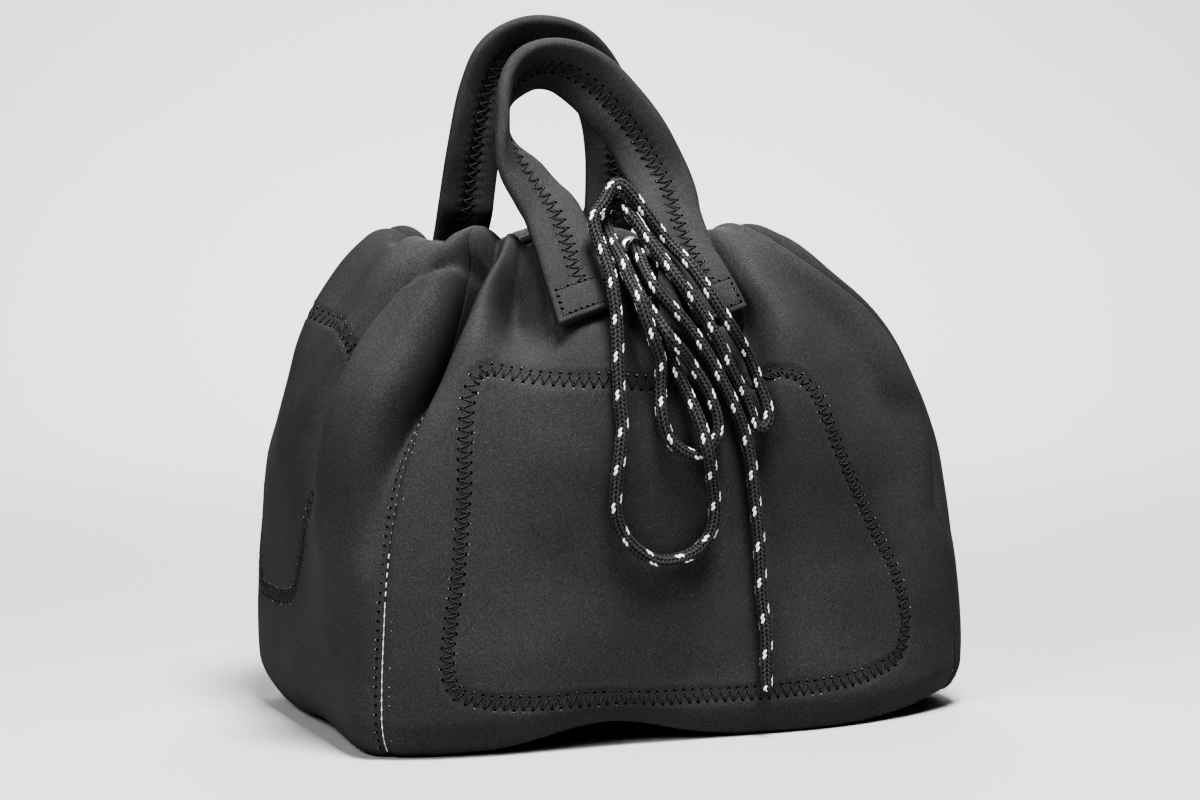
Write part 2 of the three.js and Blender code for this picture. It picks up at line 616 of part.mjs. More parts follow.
// The long end of the drawcord, hanked into two hanging loops; its tip is tucked under the top
const loopPoints = [
  [-29, -99, 229], [-28, -105, 222], [-26, -111, 214], [-21, -116, 205], [-18, -122, 198],
  [-11, -121, 191], [-3, -117, 183], [5, -117, 171], [10, -118, 157], [9, -119, 148],
  [4, -119, 142], [-3, -120, 140], [-10, -120, 143], [-17, -120, 150], [-20, -120, 160],
  [-20, -118, 172], [-20, -119, 184], [-25, -122, 195], [-29, -122, 205], [-31, -119, 214],
  [-33, -112, 223], [-34, -106, 232], [-33, -94, 239], [-33, -86, 246], [-32, -81, 252],
  [-31, -80, 257], [-28, -82, 260], [-25, -86, 257], [-20, -92, 247], [-13, -101, 234],
  [-6, -110, 222], [3, -113, 209], [12, -115, 194], [20, -114, 179], [28, -112, 166],
  [32, -112, 157], [35, -112, 151], [39, -112, 154], [40, -111, 160], [36, -109, 172],
  [31, -109, 186], [19, -114, 201], [10, -112, 215], [3, -104, 229], [-4, -93, 242],
  [-14, -91, 255], [-24, -89, 266], [-28, -88, 269], [-32, -88, 267], [-34, -89, 263],
  [-39, -91, 257], [-43, -92, 253], [-43, -94, 247], [-42, -97, 241], [-41, -101, 234],
  [-40, -106, 225], [-40, -110, 215], [-40, -113, 202], [-41, -116, 186], [-41, -118, 168],
  [-40, -119, 154], [-42, -120, 140], [-43, -119, 128], [-43, -118, 116], [-38, -116, 104],
  [-29, -116, 95], [-19, -116, 90], [-7, -116, 91], [2, -116, 95], [8, -117, 104],
  [9, -118, 116], [6, -121, 128], [2, -126, 140], [-1, -123, 155], [-5, -118, 168],
  [-12, -117, 182], [-16, -114, 193], [-19, -110, 203], [-18, -105, 213], [-16, -99, 222],
  [-13, -94, 228], [-11, -89, 234],
]

// The short end hangs straight from the visible eyelet
const tailPoints = [
  [-20, -94, 235], [-21, -102, 228], [-20, -109, 221], [-14, -111, 213], [-6, -112, 205],
  [3, -114, 193], [11, -115, 180], [19, -116, 165], [26, -115, 150], [30, -115, 133],
  [32, -115, 116], [34, -115, 101], [35, -115, 85], [36, -115, 68], [38, -116, 51],
  [38, -116, 37], [38, -117, 23],
]

function leastSelfGap(points) {
  const curve = routeCurve(points)
  const count = Math.round(curve.getLength() / 2)
  const samples = curve.getSpacedPoints(count)
  const skip = Math.ceil((2.2 * cordDiameter) / 2)
  let least = Infinity
  for (let i = 0; i < samples.length; i += 1) {
    for (let j = i + skip; j < samples.length; j += 1) {
      least = Math.min(least, samples[i].distanceTo(samples[j]) - cordDiameter)
    }
  }
  return least
}

function exitPoint(spot, lift) {
  return placeOnBag(new THREE.BufferGeometry().setFromPoints([new THREE.Vector3()]), spot, lift)
    .attributes.position
}
function startAtEyelet(spot) {
  const p = exitPoint(spot, layerGap + eyeletLip + 0.3)
  const q = exitPoint(spot, layerGap + eyeletLip + 3)
  return [[p.getX(0), p.getY(0), p.getZ(0)], [q.getX(0), q.getY(0), q.getZ(0)]]
}

add('drawcord_loops', cordGeometry([...startAtEyelet(eyelets.eyelet_loops), ...loopPoints], 6, 9),
  materials.cord)
add('drawcord_tail', cordGeometry([...startAtEyelet(eyelets.eyelet_tail), ...tailPoints], 6, 8),
  materials.cord)

// The held part of the drawcord: in through one eyelet, round the mouth's channel, out through the other
function channelRoute() {
  const inside = -wallThickness - layerGap - cordDiameter / 2 - 0.3
  const at = ({ u, v }, lift) => {
    const p = exitPoint({ u, v }, lift)
    return [p.getX(0), p.getY(0), p.getZ(0)]
  }
  const lip = layerGap + eyeletLip
  const ringV = 0.97
  const throughEyelet = (spot) => [lip, -1, -wallThickness, -wallThickness - 2, -wallThickness - 4.5]
    .map((lift) => at(spot, lift))
  const points = throughEyelet(eyelets.eyelet_tail)
  const turns = 44
  const from = eyelets.eyelet_tail.u + 0.1
  const to = 4 + eyelets.eyelet_loops.u - 0.12
  for (let k = 0; k <= turns; k += 1) {
    const u = from + ((to - from) * k) / turns
    const p = smoothBag(u, ringV).addScaledVector(bagFrame(u, ringV).out, inside - 0.9)
    points.push([p.x, p.y, p.z])
  }
  points.push(...throughEyelet(eyelets.eyelet_loops).reverse())
  return points
}
add('drawcord_channel', cordGeometry(channelRoute(), 6, 9), materials.cord)

const gaps = { loops: leastSelfGap(loopPoints), tail: leastSelfGap(tailPoints) }
console.log(`least gap of the hanked cord to itself: ${gaps.loops.toFixed(2)} mm`)

export default bag
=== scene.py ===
"""Gathered neoprene tote bag: cloth walls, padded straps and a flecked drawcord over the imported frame."""
import math

import bpy
import numpy as np
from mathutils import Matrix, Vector, noise


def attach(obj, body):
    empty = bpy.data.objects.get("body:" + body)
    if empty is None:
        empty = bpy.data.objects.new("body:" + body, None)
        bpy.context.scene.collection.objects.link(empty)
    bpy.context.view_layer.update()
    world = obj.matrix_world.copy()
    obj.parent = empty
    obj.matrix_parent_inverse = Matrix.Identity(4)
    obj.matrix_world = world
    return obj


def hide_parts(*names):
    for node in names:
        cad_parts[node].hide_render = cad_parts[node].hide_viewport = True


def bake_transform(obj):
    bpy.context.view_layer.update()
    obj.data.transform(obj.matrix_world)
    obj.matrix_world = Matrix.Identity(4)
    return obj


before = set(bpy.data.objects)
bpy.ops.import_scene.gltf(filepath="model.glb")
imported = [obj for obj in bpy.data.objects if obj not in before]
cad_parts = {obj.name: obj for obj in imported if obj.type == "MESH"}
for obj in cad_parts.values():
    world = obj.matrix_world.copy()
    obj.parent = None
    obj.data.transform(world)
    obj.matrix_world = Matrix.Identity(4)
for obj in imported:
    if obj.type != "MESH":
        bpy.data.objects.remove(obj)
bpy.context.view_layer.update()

# Camera at the photograph's angle
view_turn = math.radians(-24)
view_tilt = math.radians(4.6)
view_distance = 1.3
look_at = Vector((0.0015, 0.0, 0.1575))
toward_camera = Vector((
    math.sin(view_turn) * math.cos(view_tilt),
    -math.cos(view_turn) * math.cos(view_tilt),
    math.sin(view_tilt),
))
bpy.ops.object.camera_add(location=look_at + toward_camera * view_distance)
camera = bpy.context.object
camera.rotation_euler = (-toward_camera).to_track_quat("-Z", "Y").to_euler()
camera.data.sensor_width = 36
camera.data.lens = 75.4
camera.data.clip_start = 0.05
bpy.context.scene.camera = camera


# Curves through stations and points
def track(stations, at):
    """A smooth curve through stations that never overshoots them."""
    x, y = np.array(stations, float).T
    step = np.diff(x)
    slope = np.diff(y) / step
    tangent = np.empty(len(x))
    tangent[0], tangent[-1] = slope[0], slope[-1]
    for k in range(1, len(x) - 1):
        before, after = slope[k - 1], slope[k]
        near, far = step[k - 1], step[k]
        bend = before * after > 0
        tangent[k] = 3 * (near + far) / ((2 * far + near) / before + (far + 2 * near) / after) if bend else 0
    at = np.clip(np.asarray(at, float), x[0], x[-1])
    i = np.clip(np.searchsorted(x, at, side="right") - 1, 0, len(x) - 2)
    t = (at - x[i]) / step[i]
    base = y[i] * (2 * t**3 - 3 * t**2 + 1) + y[i + 1] * (3 * t**2 - 2 * t**3)
    return base + step[i] * (tangent[i] * (t**3 - 2 * t**2 + t) + tangent[i + 1] * (t**3 - t**2))


def route_through(points, spacing):
    """Evenly spaced points along a smooth curve through the given points."""
    p = np.array(points, float)
    p = np.vstack([2 * p[0] - p[1], p, 2 * p[-1] - p[-2]])
    pieces = []
    for k in range(1, len(p) - 2):
        a, b, c, d = p[k - 1:k + 3]
        t0 = 0.0
        t1 = t0 + np.linalg.norm(b - a) ** 0.5
        t2 = t1 + np.linalg.norm(c - b) ** 0.5
        t3 = t2 + np.linalg.norm(d - c) ** 0.5
        t = np.linspace(t1, t2, 24, endpoint=False)[:, None]
        ab = (t1 - t) / (t1 - t0) * a + (t - t0) / (t1 - t0) * b
        bc = (t2 - t) / (t2 - t1) * b + (t - t1) / (t2 - t1) * c
        cd = (t3 - t) / (t3 - t2) * c + (t - t2) / (t3 - t2) * d
        abc = (t2 - t) / (t2 - t0) * ab + (t - t0) / (t2 - t0) * bc
        bcd = (t3 - t) / (t3 - t1) * bc + (t - t1) / (t3 - t1) * cd
        pieces.append((t2 - t) / (t2 - t1) * abc + (t - t1) / (t2 - t1) * bcd)
    line = np.vstack(pieces + [p[-2:-1]])
    return evenly(line, spacing)


def run_along(line):
    """How far along a line each of its points is."""
    return np.concatenate([[0], np.cumsum(np.linalg.norm(np.diff(line, axis=0), axis=1))])


def read_at(at, run, values):
    """Values that change along a line, at some distances along it."""
    return np.stack([np.interp(at, run, column) for column in values.T], axis=1)


def evenly(line, spacing):
    run = run_along(line)
    count = max(2, int(round(run[-1] / spacing)))
    return read_at(np.linspace(0, run[-1], count + 1), run, line)


def unit(v):
    return v / np.linalg.norm(v, axis=-1, keepdims=True)


# The bag's own shape: u runs 0-1 front, 1-2 right, 2-3 back, 3-4 left; v from floor edge to mouth
half_width = [(0, .141), (.02, .149), (.04, .153), (.08, .156), (.25, .153), (.45, .142), (.62, .121),
              (.76, .098), (.88, .080), (.94, .070), (1, .058)]
half_depth = [(0, .074), (.02, .082), (.04, .086), (.08, .090), (.25, .091), (.45, .090), (.62, .084),
              (.76, .072), (.88, .059), (.94, .052), (1, .044)]
height = [(0, 0), (.02, .0006), (.04, .005), (.08, .019), (.25, .070), (.45, .130), (.62, .181),
          (.76, .213), (.88, .233), (.94, .239), (1, .234)]
lean = [(0, .007), (.3, .004), (.6, -.003), (.85, -.012), (1, -.015)]
front_squareness = [(0, 3.4), (.1, 3.8), (.25, 3.6), (.45, 3), (.7, 2.5), (1, 2)]
side_squareness = [(0, 12), (.1, 10), (.25, 9), (.45, 6), (.7, 3.6), (1, 2.1)]
floor_lifts = [(.37, .11, .013), (1, .16, .008), (2, .16, .008), (3, .2, .012), (3.6, .2, .006)]
floor_bulge = (.66, .2, .009)
rim_rises = [(.48, .07, .012), (2.45, .1, .008)]
lift_top = .3
bulge_top = .35

# Pleats: centre u, half width in u and height in metres, each along v; positive stands out of the wall
pleats = [
    ([(.2, 3.72), (.44, 3.76), (.54, 3.79), (.65, 3.82), (.78, 3.88), (.88, 3.95), (.95, 3.99), (1, 4.02)],
     [(.2, .12), (.45, .1), (.65, .09), (.8, .075), (1, .06)],
     [(.15, 0), (.3, .004), (.45, .011), (.6, .015), (.75, .015), (.88, .012), (.95, .007), (1, .004)]),
    ([(.4, 3.88), (.54, 3.91), (.65, 3.93), (.78, 3.955), (.88, 4.0), (1, 4.05)],
     [(.4, .07), (.65, .05), (1, .045)],
     [(.35, 0), (.48, .006), (.6, .011), (.75, .012), (.88, .008), (.95, .003), (1, 0)]),
    ([(.35, 3.94), (.52, 3.965), (.62, 4.005), (.72, 4.025), (.82, 4.04), (.89, 4.07), (1, 4.1)],
     [(.35, .045), (.6, .036), (.74, .034), (.85, .05), (1, .04)],
     [(.3, 0), (.42, -.004), (.52, -.011), (.62, -.020), (.72, -.022), (.82, -.018), (.89, -.011),
      (.935, -.003), (.96, 0), (1, 0)]),
    ([(.755, 3.86), (.78, 3.9), (.81, 3.945), (.84, 3.99), (.87, 4.03)],
     [(.755, .03), (.81, .038), (.87, .03)],
     [(.75, 0), (.78, -.005), (.81, -.0095), (.835, -.0075), (.875, 0)]),
    ([(.45, 3.6), (.6, 3.66), (.72, 3.72), (.85, 3.8), (1, 3.85)],
     [(.45, .1), (.75, .085), (1, .06)],
     [(.36, 0), (.5, -.007), (.66, -.016), (.8, -.018), (.9, -.007), (.945, -.001), (.97, 0), (1, 0)]),
    ([(.52, 3.42), (.6, 3.5), (.7, 3.62), (.8, 3.7)],
     [(.5, .1), (.8, .06)],
     [(.5, 0), (.58, .002), (.68, .002), (.76, .001), (.82, 0)]),
    ([(.4, .12), (.6, .12), (.72, .12), (.8, .11), (.87, .12), (1, .14)],
     [(.4, .09), (.7, .05), (1, .04)],
     [(.3, 0), (.5, .003), (.66, .007), (.8, .010), (.9, .008), (1, .003)]),
    ([(.55, .27), (.66, .235), (.72, .208), (.78, .192), (.84, .186), (.88, .178), (1, .17)],
     [(.6, .06), (.75, .068), (.85, .056), (1, .03)],
     [(.58, 0), (.64, -.004), (.7, -.014), (.75, -.0195), (.8, -.0175), (.86, -.010), (.915, -.002),
      (.955, 0), (1, 0)]),
    ([(.3, .42), (1, .42)],
     [(.3, .22), (1, .1)],
     [(.35, 0), (.55, .003), (.75, .004), (.9, .002), (1, .001)]),
    ([(.15, .65), (.3, .625), (.5, .613), (.62, .64), (.75, .69), (.84, .715), (1, .72)],
     [(.15, .05), (.5, .042), (1, .034)],
     [(.12, 0), (.28, -.004), (.45, -.008), (.6, -.012), (.75, -.016), (.85, -.012), (.925, -.003),
      (.955, 0), (1, 0)]),
    ([(.3, .76), (.55, .745), (.65, .75), (.75, .775), (.9, .79), (1, .79)],
     [(.3, .09), (1, .045)],
     [(.3, 0), (.5, .003), (.7, .007), (.85, .009), (.95, .007), (1, .004)]),
    ([(.4, .97), (.52, .965), (.58, .94), (.67, .93), (.76, .9), (.87, .865), (1, .87)],
     [(.4, .05), (.6, .048), (1, .04)],
     [(.36, 0), (.5, .009), (.62, .014), (.75, .014), (.88, .012), (.95, .009), (1, .005)]),
    ([(.35, 1.02), (.51, 1.04), (.58, 1.06), (.68, 1.05), (.8, .98), (.9, .96), (1, .96)],
     [(.35, .05), (1, .036)],
     [(.3, 0), (.45, -.009), (.6, -.016), (.75, -.014), (.87, -.007), (.94, -.001), (.96, 0), (1, 0)]),
    ([(.35, 1.16), (.6, 1.17), (.8, 1.08), (1, 1.06)],
     [(.35, .09), (1, .05)],
     [(.3, 0), (.45, .005), (.65, .010), (.85, .012), (.95, .009), (1, .005)]),
]
# Where a pleat rolls over its neighbour: centre and half width in u, and how far it is carried round the bag
rolls = [
    ([(.4, 3.92), (.55, 3.95), (.65, 3.965), (.78, 3.985), (.88, 4.03), (1, 4.07)], .07,
     [(.36, 0), (.48, .002), (.6, .005), (.75, .006), (.85, .004), (.92, .001), (.95, 0), (1, 0)]),
    ([(.5, .13), (.7, .15), (.8, .14), (.9, .14)], .05,
     [(.6, 0), (.72, .001), (.82, .002), (.9, .001), (.95, 0)]),
    ([(.3, .72), (.55, .70), (.75, .76), (.9, .78)], .06,
     [(.4, 0), (.6, -.005), (.78, -.009), (.88, -.004), (.95, 0)]),
    ([(.4, .98), (.58, .99), (.75, .95), (.9, .92)], .06,
     [(.36, 0), (.5, .005), (.65, .010), (.78, .008), (.88, .002), (.92, 0), (1, 0)]),
]
# The gathers go on round the right side, the back and the left side in the same rhythm
gathers = [(1.22, -.006, .05), (1.36, .008, .07), (1.52, -.006, .05), (1.68, .008, .07), (1.84, -.007, .05),
           (1.97, .009, .06), (2.12, -.006, .05), (2.42, .005, .12), (2.9, -.007, .05), (3.02, .010, .06),
           (3.16, -.006, .05), (3.3, .008, .07), (3.48, -.002, .08), (3.62, .003, .12)]
for at, rise, width in gathers:
    if rise > 0:
        profile = [(.42, 0), (.6, rise * .55), (.78, rise), (.9, rise), (1, rise * .4)]
    else:
        profile = [(.45, 0), (.6, rise * .6), (.78, rise), (.9, rise * .7), (.96, -.001), (1, 0)]
    pleats.append(([(.4, at), (1, at)], [(.4, width * 1.2), (1, width * .8)], profile))


def bell(u, centre, width):
    around = np.mod(np.asarray(u) - centre + 2, 4) - 2
    return np.exp(-(around / width) ** 2)


def fade_out(v, top):
    return np.maximum(0, 1 - v / top) ** 2


def smooth_bag(u, v):
    """The bag without pleats."""
    u, v = np.broadcast_arrays(np.asarray(u, float), np.asarray(v, float))
    turn = np.mod(u, 4)
    side = np.minimum(turn.astype(int), 3)
    across = 2 * (turn - side) - 1
    ones = np.ones_like(across)
    qx = np.choose(side, [across, ones, -across, -ones])
    qy = np.choose(side, [-ones, across, ones, -across])
    power = np.where(side % 2 == 0, track(front_squareness, v), track(side_squareness, v))
    swell = (2 / (np.abs(qx) ** power + np.abs(qy) ** power)) ** (1 / power)
    belly = floor_bulge[2] * bell(u, floor_bulge[0], floor_bulge[1]) * fade_out(v, bulge_top)
    z = track(height, v)
    for at, width, rise in floor_lifts:
        z = z + rise * bell(u, at, width) * fade_out(v, lift_top)
    for at, width, rise in rim_rises:
        z = z + rise * bell(u, at, width) * np.clip((v - .9) / .1, 0, 1)
    x = track(half_width, v) * qx * swell + track(lean, v)
    y = track(half_depth, v) * qy * swell - belly
    return np.stack([x, y, z], axis=-1)


def bag_frame(u, v):
    """Directions round the bag, up it and out of it, with their true lengths for the first two."""
    step = .001
    low, high = np.maximum(v - step, 0), np.minimum(v + step, 1)
    around = (smooth_bag(u + step, v) - smooth_bag(u - step, v)) / (2 * step)
    up = (smooth_bag(u, high) - smooth_bag(u, low)) / (high - low)[..., None]
    return around, up, unit(np.cross(around, up))


def levels_of(v):
    """The different heights in v, and which of them each place has."""
    levels, row = np.unique(v, return_inverse=True)
    return levels, row.reshape(np.shape(v))


def pleat_height(u, v):
    levels, row = levels_of(v)
    rise = 0
    for at, width, profile in pleats:
        rise = rise + track(profile, levels)[row] * bell(u, track(at, levels)[row], track(width, levels)[row])
    return rise


# Strap ends on the walls, and how the cloth settles under them
strap_width = .031
strap_thickness = .0075
tab_from = .72
tab_to = .885
strap_legs = {"front_handle": (.318, .605), "back_handle": (2.65, 2.27)}
leg_slants = {.318: -.16}
wall_thickness = .0035


def ease(low, high, x):
    t = np.clip((np.asarray(x, float) - low) / (high - low), 0, 1)
    return t * t * (3 - 2 * t)


def stretch_at(u, v):
    """Metres of cloth round the bag per step of u."""
    return float(np.linalg.norm(bag_frame(np.array([u]), np.array([v]))[0]))


def held_height(centre, reach, v):
    return sum(pleat_height(centre + k * reach, v) for k in (-.9, -.45, 0, .45, .9)) / 5


def leg_line(leg, v):
    """Where the middle of a sewn strap end lies, in u."""
    return leg + leg_slants.get(leg, 0) * (v - tab_to)


def settled_pleats(u, v):
    """The pleats, pressed flat under each sewn strap end."""
    u, v = np.broadcast_arrays(np.asarray(u, float), np.asarray(v, float))
    rise = pleat_height(u, v)
    levels, row = levels_of(v)
    for leg in (leg for legs in strap_legs.values() for leg in legs):
        centre = leg_line(leg, levels)
        reach = strap_width / 2 / stretch_at(leg, .8)
        held = held_height(centre, reach, levels)[row]
        off = np.abs(np.mod(u - centre[row] + 2, 4) - 2) / reach
        press = (1 - ease(.92, 1.16, off)) * ease(tab_from - .035, tab_from, v) * (1 - ease(.93, .99, v))
        rise = rise * (1 - press) + held * press
    return rise


def rolled_over(u, v):
    """How far the cloth is carried round the bag where a pleat rolls over its neighbour."""
    return sum(track(reach, v) * bell(u, track(at, v), width) for at, width, reach in rolls)


def on_bag(u, v, lift=0.0):
    """A point on the outer face of the cloth, moved out by lift."""
    around, _, out = bag_frame(u, v)
    return (smooth_bag(u, v) + unit(around) * rolled_over(u, v)[..., None]
            + out * (settled_pleats(u, v) + lift)[..., None])


def cloth_normal(u, v):
    step = .002
    around = on_bag(u + step, v) - on_bag(u - step, v)
    up = on_bag(u, np.minimum(v + step, 1)) - on_bag(u, np.maximum(v - step, 0))
    return unit(np.cross(around, up))


# Materials
class Paint:
    """One material and its nodes, with short ways to add to them."""

    def __init__(self, name):
        self.material = bpy.data.materials.new(name)
        self.material.use_nodes = True
        self.nodes = self.material.node_tree.nodes
        self.links = self.material.node_tree.links
        self.shader = self.nodes["Principled BSDF"]

    def put(self, socket, value):
        """Link an output to a socket, or give it a number or a colour."""
        if isinstance(value, bpy.types.NodeSocket):
            self.links.new(value, socket)
        else:
            socket.default_value = value

    def fill(self, node, inputs):
        for name, value in inputs.items():
            self.put(node.inputs[name], value)
        return node

    def shade(self, inputs):
        self.fill(self.shader, inputs)

    def place(self, output="Object"):
        return self.nodes.new("ShaderNodeTexCoord").outputs[output]

    def math(self, operation, *inputs):
        node = self.nodes.new("ShaderNodeMath")
        node.operation = operation
        for socket, value in zip(node.inputs, inputs):
            self.put(socket, value)
        return node.outputs[0]

    def noise(self, place, scale, detail=2, roughness=.5):
        node = self.nodes.new("ShaderNodeTexNoise")
        return self.fill(node, {"Vector": place, "Scale": scale, "Detail": detail,
                                "Roughness": roughness}).outputs["Fac"]

    def ramp(self, factor, stops):
        node = self.nodes.new("ShaderNodeValToRGB")
        colours = node.color_ramp.elements
        for element, (position, colour) in zip(colours, (stops[0], stops[-1])):
            element.position = position
            element.color = (*colour, 1)
        for position, colour in stops[1:-1]:
            colours.new(position).color = (*colour, 1)
        self.put(node.inputs[0], factor)
        return node.outputs[0]

    def spread(self, value, low, high):
        """Stretch a value from 0 to 1 over another range."""
        node = self.nodes.new("ShaderNodeMapRange")
        return self.fill(node, {"Value": value, "To Min": low, "To Max": high}).outputs[0]

    def mix(self, factor, first, second):
        node = self.nodes.new("ShaderNodeMix")
        node.data_type = "RGBA"
        return self.fill(node, {"Factor": factor, "A": first, "B": second}).outputs[2]

    def bump(self, relief, strength, distance):
        node = self.nodes.new("ShaderNodeBump")
        self.fill(node, {"Height": relief, "Strength": strength, "Distance": distance})
        self.shade({"Normal": node.outputs[0]})


def jersey(name, dark, light, grain=1500, sheen=.35, roughness=.6):
    """Knitted jersey face of neoprene: fine grain, faint wales and soft worn patches."""
    paint = Paint(name)
    place = paint.place()
    fine = paint.noise(place, grain, 3, .7)
    loops = paint.fill(paint.nodes.new("ShaderNodeTexVoronoi"), {"Vector": place, "Scale": grain * .75})
    mixed = paint.math("MULTIPLY_ADD", paint.noise(place, 14, 5), .35, fine)
    middle = [(a + b) / 2 for a, b in zip(dark, light)]
    paint.shade({
        "Base Color": paint.ramp(mixed, [(.46, [c * .72 for c in middle]), (.66, middle), (.9, light)]),
        "Roughness": paint.spread(fine, roughness - .06, roughness + .12),
        "Sheen Weight": sheen,
        "Sheen Roughness": .4,
        "IOR": 1.1,
    })
    paint.bump(paint.math("MULTIPLY_ADD", loops.outputs["Distance"], .6, fine), .35, .00025)
    return paint.material


def thread(name, colour, roughness=.5, gloss=.5):
    """Twisted sewing thread."""
    paint = Paint(name)
    ply = paint.noise(paint.place(), 2600)
    paint.shade({
        "Base Color": paint.ramp(ply, [(.3, [c * .6 for c in colour]), (.7, colour)]),
        "Roughness": roughness,
        "Specular IOR Level": gloss,
    })
    paint.bump(ply, .5, .0002)
    return paint.material


def braid(name):
    """Braided rope on its own UVs: U goes once round, V once along for each turn of a strand.

    Eight columns of yarn floats lean left and right in turn, with painted shade in the gaps between them. Two
    pale strands show in every other column."""
    paint = Paint(name)
    math_node = paint.math
    coordinates = paint.nodes.new("ShaderNodeSeparateXYZ")
    paint.put(coordinates.inputs[0], paint.place("UV"))
    u, v = coordinates.outputs[0], coordinates.outputs[1]
    column_place = math_node("MULTIPLY", u, braid_columns)
    column = math_node("FLOOR", column_place)
    x = math_node("SUBTRACT", math_node("SUBTRACT", column_place, column), .5)
    odd = math_node("FLOORED_MODULO", column, 2)
    lean_way = math_node("MULTIPLY_ADD", odd, 2, -1)
    leaning = math_node("MULTIPLY", math_node("MULTIPLY", x, lean_way), .8)
    row_place = math_node("MULTIPLY_ADD", v, braid_rows,
                          math_node("MULTIPLY_ADD", column, braid_shift, leaning))
    row = math_node("FLOOR", row_place)
    y = math_node("SUBTRACT", math_node("SUBTRACT", row_place, row), .5)
    spread = math_node("ADD", math_node("POWER", math_node("ABSOLUTE", x), 2.4),
                       math_node("POWER", math_node("ABSOLUTE", y), 2.4))
    crown = paint.fill(paint.nodes.new("ShaderNodeMapRange"),
                       {"Value": spread, "From Min": .185, "From Max": .07}).outputs[0]
    filaments = math_node("SINE", math_node("MULTIPLY_ADD", y, 5, math_node("MULTIPLY", x, 26)))
    grain = paint.noise(paint.place(), 2200)
    shade = math_node("MULTIPLY_ADD", filaments, .16, grain)
    yarn = paint.ramp(shade, [(.25, (.016, .016, .0165)), (.5, (.045, .045, .046)), (.85, (.12, .12, .122))])
    pale_yarn = paint.ramp(grain, [(.3, (.74, .74, .74)), (.7, (.9, .9, .9))])
    repeat = math_node("FLOORED_MODULO", row, braid_rows / 2)
    is_pale = math_node("LESS_THAN", repeat, 1.5)
    shows = math_node("SUBTRACT", 1, odd)
    edge = math_node("MINIMUM", math_node("MULTIPLY", crown, 2.2), 1)
    fleck = math_node("MULTIPLY", math_node("MULTIPLY", is_pale, shows), edge)
    # Painted shade: the yarn turns near black in the gaps between floats, and the pale flecks fade into it at
    # their edges
    yarn_with_gap_shade = paint.mix(crown, (.0025, .0025, .0025, 1), yarn)
    paint.shade({"Base Color": paint.mix(fleck, yarn_with_gap_shade, pale_yarn), "Roughness": .6, "IOR": 1.3})
    paint.bump(math_node("MULTIPLY_ADD", filaments, .1, crown), .7, .0006)
    return paint.material


def dull_nickel(name):
    """Worn nickel plate with fine scratches round the ring."""
    paint = Paint(name)
    scratch = paint.noise(paint.place(), 900, 6)
    paint.shade({
        "Base Color": paint.ramp(scratch, [(.3, (.42, .42, .43)), (.7, (.62, .62, .63))]),
        "Metallic": 1,
        "Roughness": paint.spread(scratch, .2, .42),
    })
    return paint.material


braid_columns = 8
braid_rows = 16
braid_shift = -1
neoprene = jersey("neoprene_jersey", (.006, .006, .0061), (.074, .074, .0745), sheen=0)
lining = jersey("lining_jersey", (.008, .008, .0082), (.03, .03, .031), grain=1300, sheen=.1)
strap_cloth = jersey("strap_jersey", (.007, .007, .0071), (.076, .076, .0765), sheen=0)
dark_thread = thread("dark_thread", (.05, .05, .051), .6, .2)
pale_thread = thread("pale_thread", (.72, .72, .72))
# Painted shade: a darker copy of the pale seam thread, for the part of the seam that runs up into the fold
painted_shade_thread = thread("painted_shade_thread", (.3, .3, .3))
# Painted shade: near-black for the flat marks laid on the cloth where needle holes and stitch pits fall into
# shade
painted_hole_shade = thread("painted_hole_shade", (.002, .002, .002), .9, 0)
foam_edge = jersey("foam_edge", (.02, .02, .0205), (.06, .06, .061), grain=2400, sheen=.05)
rope_braid = braid("rope_braid")
nickel = dull_nickel("dull_nickel")


# Making pieces
def rebuilt(piece, points):
    piece.data.vertices.foreach_set("co", np.asarray(points, np.float32).ravel())
    piece.data.update()


def corners(piece):
    co = np.empty(len(piece.data.vertices) * 3, np.float32)
    piece.data.vertices.foreach_get("co", co)
    return co.reshape(-1, 3).astype(float)


def only(piece):
    bpy.ops.object.select_all(action="DESELECT")
    bpy.context.view_layer.objects.active = piece
    piece.select_set(True)


def grid_piece(name, columns, rows):
    """A flat grid with corners at 0 and 1, ready to be laid on the bag."""
    bpy.ops.object.select_all(action="DESELECT")
    bpy.ops.mesh.primitive_grid_add(x_subdivisions=columns, y_subdivisions=rows, size=1)
    piece = bpy.context.object
    piece.name = name
    flat = corners(piece)
    return piece, flat[:, 0] + .5, flat[:, 1] + .5


def apply(piece, kind, **settings):
    only(piece)
    modifier = piece.modifiers.new(kind.title(), kind)
    for key, value in settings.items():
        setattr(modifier, key, value)
    bpy.ops.object.modifier_apply(modifier=modifier.name)


def thicken(piece, thickness, offset=-1.0, edge=.0009):
    """Give a cloth face its thickness, and roll its cut edges over."""
    apply(piece, "SOLIDIFY", thickness=thickness, offset=offset, use_even_offset=False)
    if edge:
        apply(piece, "BEVEL", width=edge, segments=2, limit_method="ANGLE", angle_limit=math.radians(55))


def tube_piece(name, around, rings):
    """A flat grid to be rolled into a tube: each corner's step round it and its ring along it."""
    piece, i, j = grid_piece(name, around, rings - 1)
    return piece, np.rint(i * around).astype(int) % around, np.rint(j * (rings - 1)).astype(int)


def close_tube(piece, weld=.00002):
    """Weld a rolled grid along its edge, fill its two ends and turn its faces outward."""
    only(piece)
    bpy.ops.object.mode_set(mode="EDIT")
    bpy.ops.mesh.select_all(action="SELECT")
    bpy.ops.mesh.remove_doubles(threshold=weld)
    bpy.ops.mesh.select_all(action="DESELECT")
    bpy.ops.mesh.select_non_manifold()
    bpy.ops.mesh.fill_holes(sides=0)
    bpy.ops.mesh.select_all(action="SELECT")
    bpy.ops.mesh.normals_make_consistent(inside=False)
    bpy.ops.object.mode_set(mode="OBJECT")


def copies(piece, count):
    """Repeat a small piece in one mesh, ready to be put in place."""
    apply(piece, "ARRAY", count=count, use_relative_offset=False, use_constant_offset=True,
          constant_offset_displace=(3, 0, 0))


